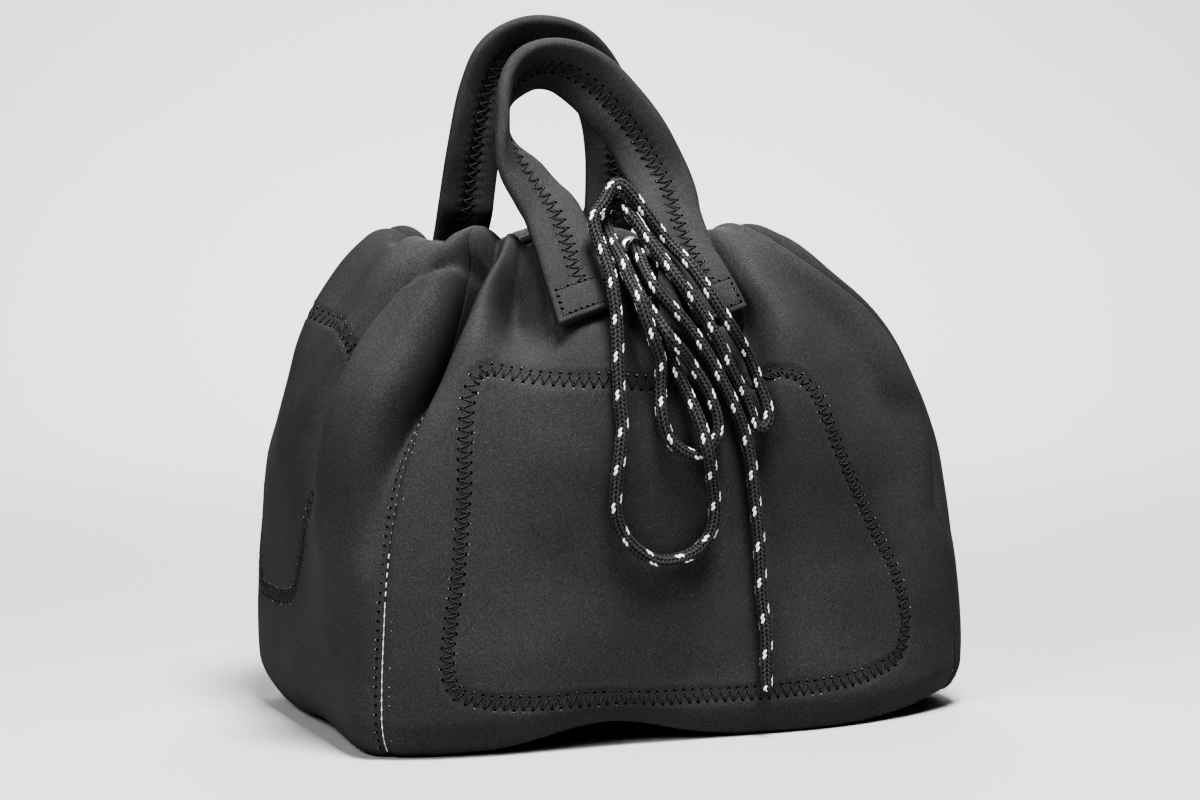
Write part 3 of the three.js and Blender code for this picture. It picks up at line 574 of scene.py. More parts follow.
def finish(piece, material, body, *nodes, slot=None, smooth=True):
    """Give a piece its material and smooth shading, fix it to a body if one is given, and hide the parts it
    stands for.
    """
    piece.data.materials.clear()
    piece.data.materials.append(material)
    if smooth:
        only(piece)
        bpy.ops.object.shade_smooth()
    if body:
        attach(piece, body)
    if nodes:
        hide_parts(*nodes)
    return piece


# Drawcord: one rope, out of one eyelet in hanging loops and out of the other as a straight tail
rope_diameter = .006
braid_turn = .0352
eyelets = {"eyelet_tail": (.485, .905), "eyelet_loops": (.432, .84)}
cord_start = .00185
cord_straight = .00455
loop_route = [
    (-.029, -.099, .229), (-.028, -.105, .222), (-.026, -.111, .214), (-.021, -.116, .205),
    (-.018, -.122, .198), (-.011, -.121, .191), (-.003, -.117, .183), (.005, -.117, .171),
    (.010, -.118, .157), (.009, -.119, .148), (.004, -.119, .142), (-.003, -.120, .140),
    (-.010, -.120, .143), (-.017, -.120, .150), (-.020, -.120, .160), (-.020, -.118, .172),
    (-.020, -.119, .184), (-.025, -.122, .195), (-.029, -.122, .205), (-.031, -.119, .214),
    (-.033, -.112, .223), (-.034, -.106, .232), (-.033, -.094, .239), (-.033, -.086, .246),
    (-.032, -.081, .252), (-.031, -.080, .257), (-.028, -.082, .260), (-.0242, -.086, .2572),
    (-.0187, -.092, .2475), (-.0122, -.101, .2343), (-.006, -.110, .222), (.003, -.113, .209),
    (.012, -.115, .194), (.020, -.114, .179), (.028, -.112, .166), (.0312, -.112, .158),
    (.0332, -.112, .1528), (.0366, -.112, .1504), (.0400, -.112, .1528), (.0408, -.111, .160),
    (.037, -.109, .172),
    (.031, -.109, .186), (.019, -.114, .201), (.010, -.112, .215), (.003, -.104, .229),
    (-.005, -.093, .2416), (-.015, -.091, .2545), (-.024, -.089, .266), (-.028, -.088, .269),
    (-.032, -.088, .267), (-.034, -.089, .263), (-.039, -.091, .257), (-.043, -.092, .253),
    (-.043, -.094, .247), (-.042, -.097, .241), (-.041, -.101, .234), (-.040, -.106, .225),
    (-.040, -.110, .215), (-.040, -.113, .202), (-.041, -.116, .186), (-.041, -.118, .168),
    (-.040, -.119, .154), (-.042, -.120, .140), (-.043, -.119, .128), (-.043, -.118, .116),
    (-.038, -.116, .104), (-.029, -.116, .095), (-.019, -.116, .090), (-.007, -.116, .091),
    (.002, -.116, .095), (.008, -.117, .104), (.009, -.118, .116), (.006, -.121, .128),
    (.002, -.126, .140), (-.001, -.123, .155), (-.005, -.118, .168), (-.012, -.117, .182),
    (-.016, -.114, .193), (-.019, -.110, .203), (-.018, -.105, .213), (-.016, -.099, .222),
    (-.013, -.094, .228), (-.011, -.089, .234),
]
tail_route = [
    (-.020, -.094, .235), (-.021, -.102, .228), (-.020, -.109, .221), (-.014, -.111, .213),
    (-.006, -.112, .205), (.003, -.114, .193), (.011, -.115, .180), (.019, -.116, .165),
    (.026, -.115, .150), (.030, -.115, .133), (.032, -.115, .116), (.034, -.115, .101),
    (.035, -.115, .085), (.036, -.115, .068), (.038, -.116, .051), (.038, -.116, .037),
    (.038, -.117, .023),
]


def eyelet_point(spot, lift):
    """A point on an eyelet's axis, which follows the bag's own outward direction."""
    u, v = np.array([spot[0]]), np.array([spot[1]])
    return (smooth_bag(u, v) + bag_frame(u, v)[2] * (pleat_height(u, v) + lift)[:, None])[0]


def rope_frames(line):
    """Directions along the rope and two across it that don't twist."""
    along = unit(np.gradient(line, axis=0))
    side = np.cross(along[0], (0, 0, 1.0))
    if np.linalg.norm(side) < .2:
        side = np.cross(along[0], (1.0, 0, 0))
    sides = [unit(side)]
    for k in range(1, len(line)):
        turned = sides[-1] - along[k] * np.dot(sides[-1], along[k])
        sides.append(unit(turned))
    sides = np.array(sides)
    return along, sides, np.cross(along, sides)


def rope(name, line, around=32):
    """Braided tube along a line of points: each yarn's float stands up from the round."""
    along, side, other = rope_frames(line)
    run = run_along(line)
    to_front = np.array((-.4, -.9, .1))
    turned = np.angle(((side @ to_front) + 1j * (other @ to_front)).sum()) / (2 * np.pi)
    share = np.linspace(0, 1, around + 1)[:-1]
    turn, travel = np.meshgrid(share, run / braid_turn)
    column_place = turn * braid_columns
    column = np.floor(column_place)
    x = column_place - column - .5
    row_place = travel * braid_rows + column * braid_shift + .8 * x * (2 * np.mod(column, 2) - 1)
    y = row_place - np.floor(row_place) - .5
    spread = np.abs(x) ** 2.4 + np.abs(y) ** 2.4
    radius = rope_diameter / 2 * (.93 + .1 * (1 - ease(.03, .3, spread)))
    cap = np.sqrt(np.clip(1 - ((.0016 - np.minimum(run, run[-1] - run)) / .0016).clip(0, 1) ** 2, .02, 1))
    radius = radius * cap[:, None]
    round_ = 2 * np.pi * (turn + turned)
    points = line[:, None] + radius[..., None] * (
        np.cos(round_)[..., None] * side[:, None] + np.sin(round_)[..., None] * other[:, None])
    piece, step, ring = tube_piece(name, around, len(line))
    rebuilt(piece, points[ring, step])
    layer = piece.data.uv_layers[0]
    flat = np.empty(len(piece.data.loops) * 2, np.float32)
    layer.data.foreach_get("uv", flat)
    flat = flat.reshape(-1, 2)
    flat[:, 1] = (run / braid_turn)[np.rint(flat[:, 1] * (len(line) - 1)).astype(int)]
    layer.data.foreach_set("uv", flat.ravel())
    close_tube(piece)
    return piece


def smoothed(line, reach):
    """The same line with small kinks ironed out; both ends stay."""
    weights = np.exp(-np.linspace(-2, 2, 2 * reach + 1) ** 2)
    weights /= weights.sum()
    padded = np.vstack([2 * line[0] - line[reach:0:-1], line, 2 * line[-1] - line[-2:-reach - 2:-1]])
    return np.stack([np.convolve(padded[:, k], weights, mode="valid") for k in range(3)], axis=1)


def cord_line(spot, route):
    start = [eyelet_point(spot, cord_start), eyelet_point(spot, cord_straight)]
    line = smoothed(route_through(start + list(route), .001), 6)
    return evenly(line, .00062)


def hang_cord(name, spot, route, node):
    line = cord_line(spot, route)
    piece = rope(name, line)
    finish(piece, rope_braid, "bag", node, slot="cord")
    return piece


hang_cord("drawcord_hanging_loops", eyelets["eyelet_loops"], loop_route, "drawcord_loops")
hang_cord("drawcord_hanging_tail", eyelets["eyelet_tail"], tail_route, "drawcord_tail")


# The four walls
seam_half_gap = .0002
seam_dip = .0011
zigzag_pitch = .0047
zigzag_width = .0066
front_zigzag = [
    (.131, .583), (.138, .608), (.163, .621), (.238, .613), (.306, .604), (.375, .6), (.431, .594),
    (.519, .592), (.6, .592), (.65, .596), (.675, .606), (.706, .596), (.725, .567), (.731, .517),
    (.744, .446), (.775, .354), (.812, .279), (.831, .212), (.831, .163), (.812, .121), (.756, .101),
    (.694, .092), (.613, .089), (.494, .085), (.425, .076), (.356, .077), (.256, .092), (.188, .106),
    (.15, .121), (.136, .154), (.138, .221), (.148, .3), (.15, .371), (.148, .45), (.138, .517),
]
back_zigzag = [(2 + u, v) for u, v in front_zigzag]
left_zigzag = [
    (3.12, .66), (3.16, .69), (3.25, .70), (3.4, .70), (3.52, .69), (3.6, .66), (3.62, .6), (3.6, .5),
    (3.55, .37), (3.49, .283), (3.44, .235), (3.36, .221), (3.25, .218), (3.17, .221), (3.13, .25),
    (3.115, .37), (3.11, .48), (3.11, .58),
]
right_zigzag = [(5 - u, v) for u, v in left_zigzag]
zigzags = {"front_wall": front_zigzag, "back_wall": back_zigzag, "left_wall": left_zigzag,
           "right_wall": right_zigzag}


def closed_path(path, count=1400):
    """A rounded closed path in u and v, evenly spaced in real length."""
    ring = np.array(path, float)
    ring = np.vstack([ring[-3:], ring, ring[:3]])
    line = route_through([(a, b, 0) for a, b in ring], .002)[:, :2]
    away = np.linalg.norm(line - ring[3], axis=1)
    half = len(line) // 2
    line = line[int(np.argmin(away[:half])):half + int(np.argmin(away[half:]))]
    points = on_bag(line[:, 0], line[:, 1])
    run = run_along(points)
    at = np.linspace(0, run[-1], count)
    return read_at(at, run, line), run[-1]


def beside(uv, offset):
    """Move along the cloth, square to a path, by an offset in metres."""
    u, v = uv.T
    points = on_bag(u, v)
    along = unit(np.gradient(points, axis=0))
    around, up, out = bag_frame(u, v)
    side = np.cross(out, along) * np.asarray(offset)[:, None]
    step_u = (side * around).sum(1) / (around**2).sum(1)
    step_v = (side * up).sum(1) / (up**2).sum(1)
    return u + step_u, v + step_v


def near_line(points, line, reach):
    """Distance from each point to a line of points, as a share of reach, at most 1."""
    share = np.ones(len(points))
    for start in range(0, len(points), 4000):
        part = points[start:start + 4000]
        gap = np.linalg.norm(part[:, None] - line[None], axis=2).min(axis=1)
        share[start:start + 4000] = np.minimum(gap / reach, 1)
    return share


def wander(points, size, seed):
    """Soft uneven relief from -1 to 1 with hollows of the given size."""
    at = points / size + seed
    return np.array([noise.noise(Vector(p)) for p in at])


def cloth_relief(u, v, points, stitched):
    """What the smooth pleats leave out: soft dents, gathers at the mouth, and stitch lines that draw the
    cloth in.
    """
    broad = wander(points, .06, 3.1) * .0013
    small = wander(points, .022, 7.7) * .00035
    gathered = ease(.55, .9, v)
    flutes = wander(np.stack([u * 17, v * 2.2, np.zeros_like(u)], 1), 1.0, 5.3) * .0012 * gathered
    flutes += wander(np.stack([u * 60, v * 5, np.zeros_like(u)], 1), 1.0, 9.1) * .0003 * gathered
    relief = broad + small + flutes
    if stitched is not None:
        share = near_line(points, stitched, zigzag_width * .95)
        relief = relief - .00055 * (1 - ease(.25, 1, share))
        relief = relief + .0003 * np.exp(-((share - 1) / .3) ** 2) * (share < 1)
    return relief


def wall(name, side, columns, rows):
    piece, i, v = grid_piece(name + "_cloth", columns, rows)
    girth = stretch_at(side + .5, .4)
    inset = seam_half_gap / girth
    u = side + inset + i * (1 - 2 * inset)
    stitched, _ = closed_path(zigzags[name], 500)
    line = on_bag(stitched[:, 0], stitched[:, 1])
    points = on_bag(u, v)
    local = np.linalg.norm(bag_frame(u, v)[0], axis=1)
    to_seam = np.minimum(i, 1 - i) * local
    relief = cloth_relief(u, v, points, line)
    relief = relief * ease(0, .004, to_seam) - seam_dip * np.exp(-(to_seam / .0019) ** 2)
    relief = relief * ease(0, .03, v) - .0007 * np.exp(-(((1 - v) * .25 - .0045) / .0016) ** 2)
    rebuilt(piece, points + cloth_normal(u, v) * relief[:, None])
    area = sum(p.area for p in piece.data.polygons)
    thicken(piece, wall_thickness)
    finish(piece, neoprene, "bag", name, slot="neoprene")
    return piece, area


walls = {}
for name, side, columns, rows in (("front_wall", 0, 200, 180), ("right_wall", 1, 130, 150),
                                  ("back_wall", 2, 170, 150), ("left_wall", 3, 150, 170)):
    walls[name] = wall(name, side, columns, rows)

# Sewing: every stitch is a small rounded length of thread between two needle holes
thread_radius = .00034


def laid(piece, points, normals, reach=.006):
    """Where points near a piece meet its outer surface, seen along their normals."""
    found, ways = np.array(points, float), np.array(normals, float)
    for k, (point, way) in enumerate(zip(points, normals)):
        hit, place, facing, _ = piece.ray_cast(Vector(point + way * reach), Vector(-way), distance=reach * 2)
        if hit:
            found[k], ways[k] = place, facing
    return found, ways


def beads(name, count, segments=6, rings=6):
    """Many small rounded beads in one mesh, and the shape of one of them: long along X."""
    bpy.ops.object.select_all(action="DESELECT")
    bpy.ops.mesh.primitive_uv_sphere_add(segments=segments, ring_count=rings, radius=1)
    piece = bpy.context.object
    piece.name = name
    shape = corners(piece)[:, [2, 0, 1]]
    copies(piece, count)
    return piece, shape


def stitches(name, starts, ends, normals, width=thread_radius, rise=.00034, sink=.00012):
    """Sew from each start to each end; the thread arches a little between them."""
    starts, ends, normals = (np.asarray(a, float).reshape(-1, 3) for a in (starts, ends, normals))
    piece, shape = beads(name, len(starts))
    along = (ends - starts) / 2
    across = unit(np.cross(normals, along))
    normals = unit(np.cross(along, across))
    full = (1 - shape[:, 0] ** 6) ** .5 / np.maximum((1 - shape[:, 0] ** 2) ** .5, .2)
    arch = rise * (1 - shape[:, 0] ** 2) - sink
    points = ((starts + ends)[:, None] / 2 + along[:, None] * shape[None, :, :1]
              + across[:, None] * (shape[:, 1] * full * width)[None, :, None]
              + normals[:, None] * (shape[:, 2] * full * width + arch)[None, :, None])
    rebuilt(piece, points.reshape(-1, 3))
    return piece


def marks(name, places, normals, ways, size, lift=0.0, taper=0.0):
    """Flat marks: size is along ways, across them and high, and taper makes the start narrower."""
    piece, shape = beads(name, len(places), 8, 4)
    across = unit(np.cross(normals, ways))
    ways = np.cross(across, normals)
    breadth = shape[:, 1:2] * size[1] * (1 - taper * (1 - shape[:, :1]) / 2)
    points = (places[:, None] + ways[:, None] * shape[None, :, :1] * size[0]
              + across[:, None] * breadth[None]
              + normals[:, None] * (shape[None, :, 2:] * size[2] + lift))
    rebuilt(piece, points.reshape(-1, 3))
    return piece


def some(count, share, seed):
    return np.random.default_rng(seed).random(count) < share


def sew_zigzag(name, cloth, seed):
    """The zigzag that holds a pocket behind a wall."""
    _, length = closed_path(zigzags[name], 300)
    tips = 2 * int(round(length / zigzag_pitch))
    path, _ = closed_path(zigzags[name], tips + 1)
    sway = zigzag_width / 2 * np.where(np.arange(tips + 1) % 2, 1, -1)
    u, v = beside(path, sway)
    centre = on_bag(path[:, 0], path[:, 1])
    points, ways = laid(cloth, on_bag(u, v), cloth_normal(u, v))
    outward = unit(points - centre)
    thread_ends = points - outward * .0004
    sewn = stitches(name + "_zigzag", thread_ends[:-1], thread_ends[1:], (ways[:-1] + ways[1:]) / 2,
                    width=.0003)
    finish(sewn, dark_thread, "bag")
    # Painted shade: near-black flat marks just inside each tip, where the needle holes and the pits between
    # threads fall into shade
    holes, facing = laid(cloth, points - outward * .0011, ways)
    pit_shade_marks = marks(name + "_zigzag_hole_shade", holes, facing, outward, (.0016, .0011, .00022), taper=.7)
    finish(pit_shade_marks, painted_hole_shade, "bag")
    bright = some(len(points), .38, seed)
    specks = marks(name + "_zigzag_specks", (points + outward * .0006)[bright], ways[bright], outward[bright],
                   (.00026, .00022, .0002), .00004)
    finish(specks, pale_thread, "bag")


for seed, (name, (cloth, area)) in enumerate(walls.items()):
    sew_zigzag(name, cloth, 11 + seed)


# Corner seams: a run of short stitches along each, with painted shade for the needle's holes on both sides
seam_pitch = .0044
seam_cloths = {0: ("left_wall", "front_wall"), 1: ("front_wall", "right_wall"),
               2: ("right_wall", "back_wall"), 3: ("back_wall", "left_wall")}


def seam_run(corner, bottom, top):
    """Heights along a seam, how far along it they are, and where its stitches go."""
    v = np.linspace(bottom, top, 900)
    line = on_bag(np.full_like(v, corner), v)
    run = run_along(line)
    return v, run, np.arange(seam_pitch / 2, run[-1], seam_pitch)


def sew_seam(corner, name, material, bottom, top, dash, width):
    v, run, at = seam_run(corner, bottom, top)
    v_low, v_high = np.interp(at - dash / 2, run, v), np.interp(at + dash / 2, run, v)
    u = np.full_like(v_low, corner)
    sunk = -seam_dip * .72
    sewn = stitches(f"seam_{corner}_{name}", on_bag(u, v_low, sunk), on_bag(u, v_high, sunk),
                    cloth_normal(u, (v_low + v_high) / 2), width=width, rise=.0002)
    finish(sewn, material, "bag")


def seam_holes(corner, bottom, top, size, share, seed):
    """Painted shade for the needle holes on both sides of a seam, and specks of thread in some of them."""
    v, run, at = seam_run(corner, bottom, top)
    mid = np.interp(at + seam_pitch / 2, run, v)
    path = np.stack([np.full_like(mid, corner), mid], 1)
    places, ways, asides = [], [], []
    for side, cloth in zip((-1, 1), seam_cloths[corner]):
        hole_u, hole_v = beside(path, np.full_like(mid, .0027 * side))
        hole_v = np.clip(hole_v, .005, .995)
        found, facing = laid(walls[cloth][0], on_bag(hole_u, hole_v), cloth_normal(hole_u, hole_v))
        places.append(found)
        ways.append(facing)
        asides.append(unit(found - on_bag(path[:, 0], path[:, 1])))
    places, ways, asides = np.vstack(places), np.vstack(ways), np.vstack(asides)
    open_ones = slice(len(mid) if corner == 0 else 0, None)
    # Painted shade: near-black flat marks at the needle holes, for the shade inside them
    holes = marks(f"seam_{corner}_holes", places[open_ones], ways[open_ones], asides[open_ones], size,
                  taper=.4)
    finish(holes, painted_hole_shade, "bag")
    bright = some(len(places), share, seed)
    specks = marks(f"seam_{corner}_specks", (places + asides * .0009)[bright], ways[bright], asides[bright],
                   (.00022, .0002, .0002), .00004)
    finish(specks, pale_thread, "bag")


sew_seam(0, "line", pale_thread, .03, .27, .0047, .00025)
sew_seam(0, "knots", pale_thread, .03, .27, .0013, .0004)
sew_seam(0, "dashes", pale_thread, .272, .35, .0026, .00032)
# Painted shade: the upper dots of this seam use the darker copy of the pale thread, where the seam runs into
# the fold
sew_seam(0, "dots", painted_shade_thread, .352, .6, .001, .00022)
seam_holes(0, .03, .6, (.0009, .0006, .0002), .45, 31)
for corner in (1, 2, 3):
    sew_seam(corner, "thread", dark_thread, .03, .95, .003, .00034)
    seam_holes(corner, .03, .95, (.0007, .00042, .0002), .16, 31 + corner)


def sew_rim():
    """The hem's stitches, just under the mouth."""
    u = np.linspace(0, 4, 1601)
    v = np.full_like(u, .981)
    line = on_bag(u, v)
    run = run_along(line)
    at = np.arange(.002, run[-1] - .002, .0034)
    low, high = np.interp(at - .00115, run, u), np.interp(at + .00115, run, u)
    level = np.full_like(low, .981)
    starts, ends = on_bag(low, level, -.0005), on_bag(high, level, -.0005)
    sewn = stitches("mouth_stitches", starts, ends, cloth_normal((low + high) / 2, level))
    finish(sewn, dark_thread, "bag")


sew_rim()


# Padded strap handles: one strap each, from its sewn end over the loop to the other sewn end
handle_routes = {
    "front_handle": {
        "points": [(-.054, -.070, .252), (-.0545, -.068, .2555), (-.059, -.063, .263), (-.067, -.057, .277),
                   (-.072, -.052, .291), (-.072, -.049, .306), (-.066, -.047, .318), (-.054, -.046, .326),
                   (-.039, -.046, .326), (-.026, -.048, .319), (-.015, -.051, .308), (-.004, -.054, .294),
                   (.004, -.058, .278), (.009, -.064, .264), (.009, -.070, .252)],
        "faces": [(0, (0, -.85, .5)), (.12, (.45, -.85, .2)), (.28, (.95, -.3, 0)), (.5, (.1, -.7, -.7)),
                  (.75, (-.5, -.85, -.1)), (1, (0, -.85, .5))],
        "nodes": ("front_handle", "front_handle_left_end", "front_handle_right_end"),
    },
    "back_handle": {
        "points": [(-.046, .070, .252), (-.046, .069, .256), (-.045, .066, .271), (-.043, .060, .297),
                   (-.040, .055, .318), (-.034, .050, .335), (-.021, .048, .344), (-.006, .047, .344),
                   (.009, .048, .337), (.022, .052, .324), (.032, .057, .306), (.037, .062, .287),
                   (.039, .067, .269), (.039, .070, .252)],
        "faces": [(0, (0, -.85, -.5)), (.25, (.2, -.95, 0)), (.5, (.1, -.7, -.7)), (.75, (-.4, -.9, 0)),
                  (1, (0, -.85, -.5))],
        "nodes": ("back_handle", "back_handle_left_end", "back_handle_right_end"),
    },
}
strap_step = .0014
strap_round = 44
tab_thickness = .0052
strap_skews = {"front_handle": .2}


def blended_faces(keys, share):
    places = np.array([k[0] for k in keys])
    ways = unit(np.array([k[1] for k in keys], float))
    i = np.clip(np.searchsorted(places, share, side="right") - 1, 0, len(places) - 2)
    t = ease(0, 1, (share - places[i]) / (places[i + 1] - places[i]))[:, None]
    return unit(ways[i] * (1 - t) + ways[i + 1] * t)


def sewn_rows(u, facing):
    """Centre line and face of a strap end lying on the wall, from its cut edge upward."""
    v = np.linspace(tab_from, tab_to, 10)
    at = leg_line(u, v)
    out = cloth_normal(at, v)
    settle = tab_thickness / 2 + (strap_thickness - tab_thickness) / 2 * ease(.8, .87, v) + .0001
    return on_bag(at, v) + out * settle[:, None], out * facing


def strap_course(name):
    """Centre line, face and across directions of a whole strap, and where its sewn parts end."""
    route = handle_routes[name]
    left, right = strap_legs[name]
    loop = route_through(route["points"], .004)
    share = np.linspace(0, 1, len(loop))
    loop_faces = blended_faces(route["faces"], share)
    facing = 1 if name.startswith("front") else -1
    start, start_faces = sewn_rows(left, facing)
    end, end_faces = sewn_rows(right, facing)
    line = np.vstack([start[:-1], loop[1:-1], end[:-1][::-1]])
    faces = np.vstack([start_faces[:-1], loop_faces[1:-1], end_faces[:-1][::-1]])
    run = run_along(line)
    centre = smoothed(route_through(line, strap_step), 4)
    new_run = np.linspace(0, run[-1], len(centre))
    face = smoothed(read_at(new_run, run, faces), 5)
    along = unit(np.gradient(centre, axis=0))
    face = unit(face - along * (face * along).sum(1)[:, None])
    across = np.cross(along, face)
    sewn = np.linalg.norm(np.diff(start, axis=0), axis=1).sum()
    sewn_end = np.linalg.norm(np.diff(end, axis=0), axis=1).sum()
    return centre, along, face, across, new_run, sewn, run[-1] - sewn_end


def strap_section(count):
    """Offsets across and through a strap whose two edges are rolled over a soft core."""
    angle = 2 * np.pi * np.arange(count * 6) / (count * 6)
    ring = np.stack([np.sign(np.cos(angle)) * np.abs(np.cos(angle)) ** .55,
                     np.sign(np.sin(angle)) * np.abs(np.sin(angle)) ** .55], axis=1)
    ring *= (strap_width / 2, strap_thickness / 2)
    closed = np.vstack([ring, ring[:1]])
    run = run_along(closed)
    at = np.linspace(0, run[-1], count + 1)[:-1]
    return read_at(at, run, closed)


def skew_at(name, run):
    """How much a strap's first sewn end is slanted: metres along it for each metre across."""
    return strap_skews.get(name, 0) * (1 - ease(.014, .05, run))


def strap(name):
    centre, along, face, across, run, sewn, sewn_end = strap_run[name]
    section = strap_section(strap_round)
    from_end = np.minimum(run, run[-1] - run)
    in_loop = ease(sewn - .004, sewn + .012, run) * (1 - ease(sewn_end - .012, sewn_end + .004, run))
    thin = 1 - (1 - tab_thickness / strap_thickness) * (1 - ease(.012, .03, from_end))
    width = 1 + .012 * wander(np.stack([run * 0, run * 0, run], 1), .03, 2.2)
    flat = section[:, 0][None] * width[:, None]
    high = section[:, 1][None] * np.ones_like(run)[:, None]
    groove = .0018 * np.exp(-(flat / .0046) ** 2) * ease(.013, .022, from_end)[:, None]
    beside_seam = np.exp(-((np.abs(flat) - .0042) / .0022) ** 2)
    pucker = .00026 * np.cos(2 * np.pi * run / zigzag_pitch)[:, None] * beside_seam
    high = (high - np.sign(high) * (groove + pucker * (np.abs(high) > .001))) * thin[:, None]
    row = .00045 * (np.exp(-((from_end - .003) / .0009) ** 2) + np.exp(-((from_end - .0165) / .0009) ** 2))
    high = high * (1 - row[:, None] / .0035)
    points = centre[:, None] + across[:, None] * flat[..., None] + face[:, None] * high[..., None]
    points = points + along[:, None] * (skew_at(name, run)[:, None] * flat)[..., None]
    crease = wander(points.reshape(-1, 3), .018, 4.4).reshape(points.shape[:2]) * .00035 * in_loop[:, None]
    points = points + face[:, None] * (crease * np.sign(high))[..., None]
    piece, step, ring = tube_piece(name + "_strap", strap_round, len(centre))
    rebuilt(piece, points[ring, step])
    close_tube(piece)
    caps = [p for p in piece.data.polygons if len(p.vertices) > 4]
    finish(piece, strap_cloth, None, *handle_routes[name]["nodes"], slot="strap")
    piece.data.materials.append(foam_edge)
    for cap in caps:
        cap.material_index = 1
        cap.use_smooth = False
    return piece


strap_run = {name: strap_course(name) for name in handle_routes}
straps = {name: strap(name) for name in handle_routes}


def strap_rows(name):
    """Where the strap's stitches go: pairs of (distance along it, offset across it), by its two faces."""
    run = strap_run[name][4]
    length = run[-1]
    _, _, _, _, _, sewn, sewn_end = strap_run[name]
    tips = int((length - .033) / (zigzag_pitch / 2))
    along = np.linspace(.0165, length - .0165, tips)
    sway = .0033 * np.where(np.arange(tips) % 2, 1, -1)
    zigzag = np.stack([along, sway], 1)
    under = zigzag[(along > sewn + .004) & (along < sewn_end - .004)]
    boxes = []
    for end, sign in ((0, 1), (length, -1)):
        half = strap_width / 2 - .0032
        for level in (.0032, .0165):
            row = np.arange(-half, half + .0001, .0031)
            boxes += [((end + sign * level, a), (end + sign * level, b)) for a, b in zip(row[:-1], row[1:])]
        for edge in (-half, half):
            row = np.arange(.0032, .0166, .0033)
            boxes += [((end + sign * a, edge), (end + sign * b, edge)) for a, b in zip(row[:-1], row[1:])]
    return zigzag, under, boxes


def strap_points(name, spots, face_sign, piece):
    centre, along, face, across, run, _, _ = strap_run[name]
    spots = np.asarray(spots, float)
    place = read_at(spots[:, 0], run, centre)
    side, ahead, way = (unit(read_at(spots[:, 0], run, values)) for values in (across, along, face))
    way = way * face_sign
    place = place + (side + ahead * skew_at(name, spots[:, :1])) * spots[:, 1:]
    return laid(piece, place + way * .0035, way, .004)


def bend_with(piece):
    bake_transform(piece)


def sew_strap(name, piece, seed):
    zigzag, under, boxes = strap_rows(name)
    outer = 1 if name.startswith("front") else -1
    threads, holes = [], []
    for sign, spots in ((outer, zigzag), (-outer, under)):
        points, ways = strap_points(name, spots, sign, piece)
        threads.append((points[:-1], points[1:], (ways[:-1] + ways[1:]) / 2))
        holes.append((points, ways))
    starts, ways_start = strap_points(name, [a for a, _ in boxes], outer, piece)
    ends, ways_end = strap_points(name, [b for _, b in boxes], outer, piece)
    inset = (ends - starts) * .12
    threads.append((starts + inset, ends - inset, (ways_start + ways_end) / 2))
    holes.append((starts, ways_start))
    starts, ends, ways = (np.vstack([t[k] for t in threads]) for k in range(3))
    sewn = stitches(name + "_strap_stitches", starts, ends, ways, width=.0003, rise=.0003)
    finish(sewn, dark_thread, None)
    bend_with(sewn)
    # Painted shade: near-black marks at every needle hole, for the shade inside them; some holes also get a
    # pale speck of thread
    places, facing = (np.vstack([h[k] for h in holes]) for k in range(2))
    side = np.cross(facing, (0, 0, 1.0))
    side = unit(np.where(np.linalg.norm(side, axis=1)[:, None] > .1, side, (1.0, 0, 0)))
    dark = marks(name + "_strap_hole_shade", places, facing, side, (.0009, .0007, .0002))
    finish(dark, painted_hole_shade, None)
    bend_with(dark)
    bright = some(len(places), .3, seed)
    specks = marks(name + "_strap_specks", places[bright], facing[bright], side[bright],
                   (.00024, .0002, .0002), .00008)
    finish(specks, pale_thread, None)
    bend_with(specks)


for seed, (name, piece) in enumerate(straps.items()):
    sew_strap(name, piece, 51 + seed)
    bend_with(piece)

# Inside the bag: hem facing, pockets and floor
facing_room = [(.78, 0), (.84, .013), (.89, .015), (.965, .0132), (1, 0)]
lining_lift = -(wall_thickness + .0009)
lining_thickness = .002
pocket_corners = {
    "front_pocket": [(.15, .1), (.84, .12), (.7, .6), (.15, .61)],
    "left_pocket": [(3.15, .23), (3.5, .23), (3.62, .69), (3.2, .69)],
    "back_pocket": [(2.16, .11), (2.84, .11), (2.74, .6), (2.26, .6)],
    "right_pocket": [(1.3, .23), (1.7, .23), (1.72, .66), (1.28, .66)],
}


def deepest_near(u, v):
    """The deepest hollow of the cloth close to a point."""
    depth = np.zeros(np.broadcast(u, v).shape)
    for across in (-.045, -.03, -.015, 0, .015, .03, .045):
        for along in (-.05, -.025, 0, .025, .05):
            depth = np.minimum(depth, pleat_height(u + across, v + along))
    return depth


def hem_facing():
    piece, i, j = grid_piece("mouth_facing_cloth", 320, 26)
    u, v = np.mod(i * 4, 4), .78 + j * .22
    sewn = np.maximum(1 - ease(.78, .8, v), ease(.97, 1, v))
    around, _, out = bag_frame(u, v)
    held = np.min([settled_pleats(u + k, v) for k in (-.02, -.01, 0, .01, .02)], axis=0)
    free = np.minimum(-track(facing_room, v), deepest_near(u, v))
    ripple = wander(np.stack([np.cos(np.pi * u / 2) * 5, np.sin(np.pi * u / 2) * 5, v * 9], 1), 1.0, 2.9)
    clear = lining_lift - .003 * (1 - ease(.9, .965, v))
    lift = clear + held * sewn + (free - .0009 * np.abs(ripple)) * (1 - sewn)
    points = smooth_bag(u, v) + unit(around) * (rolled_over(u, v) * sewn)[:, None] + out * lift[:, None]
    rebuilt(piece, points)
    area = sum(p.area for p in piece.data.polygons)
    only(piece)
    bpy.ops.object.mode_set(mode="EDIT")
    bpy.ops.mesh.select_all(action="SELECT")
    bpy.ops.mesh.remove_doubles(threshold=.00002)
    bpy.ops.object.mode_set(mode="OBJECT")
    thicken(piece, lining_thickness, edge=.0005)
    finish(piece, lining, "bag", "mouth_facing", slot="lining")
    return piece, area


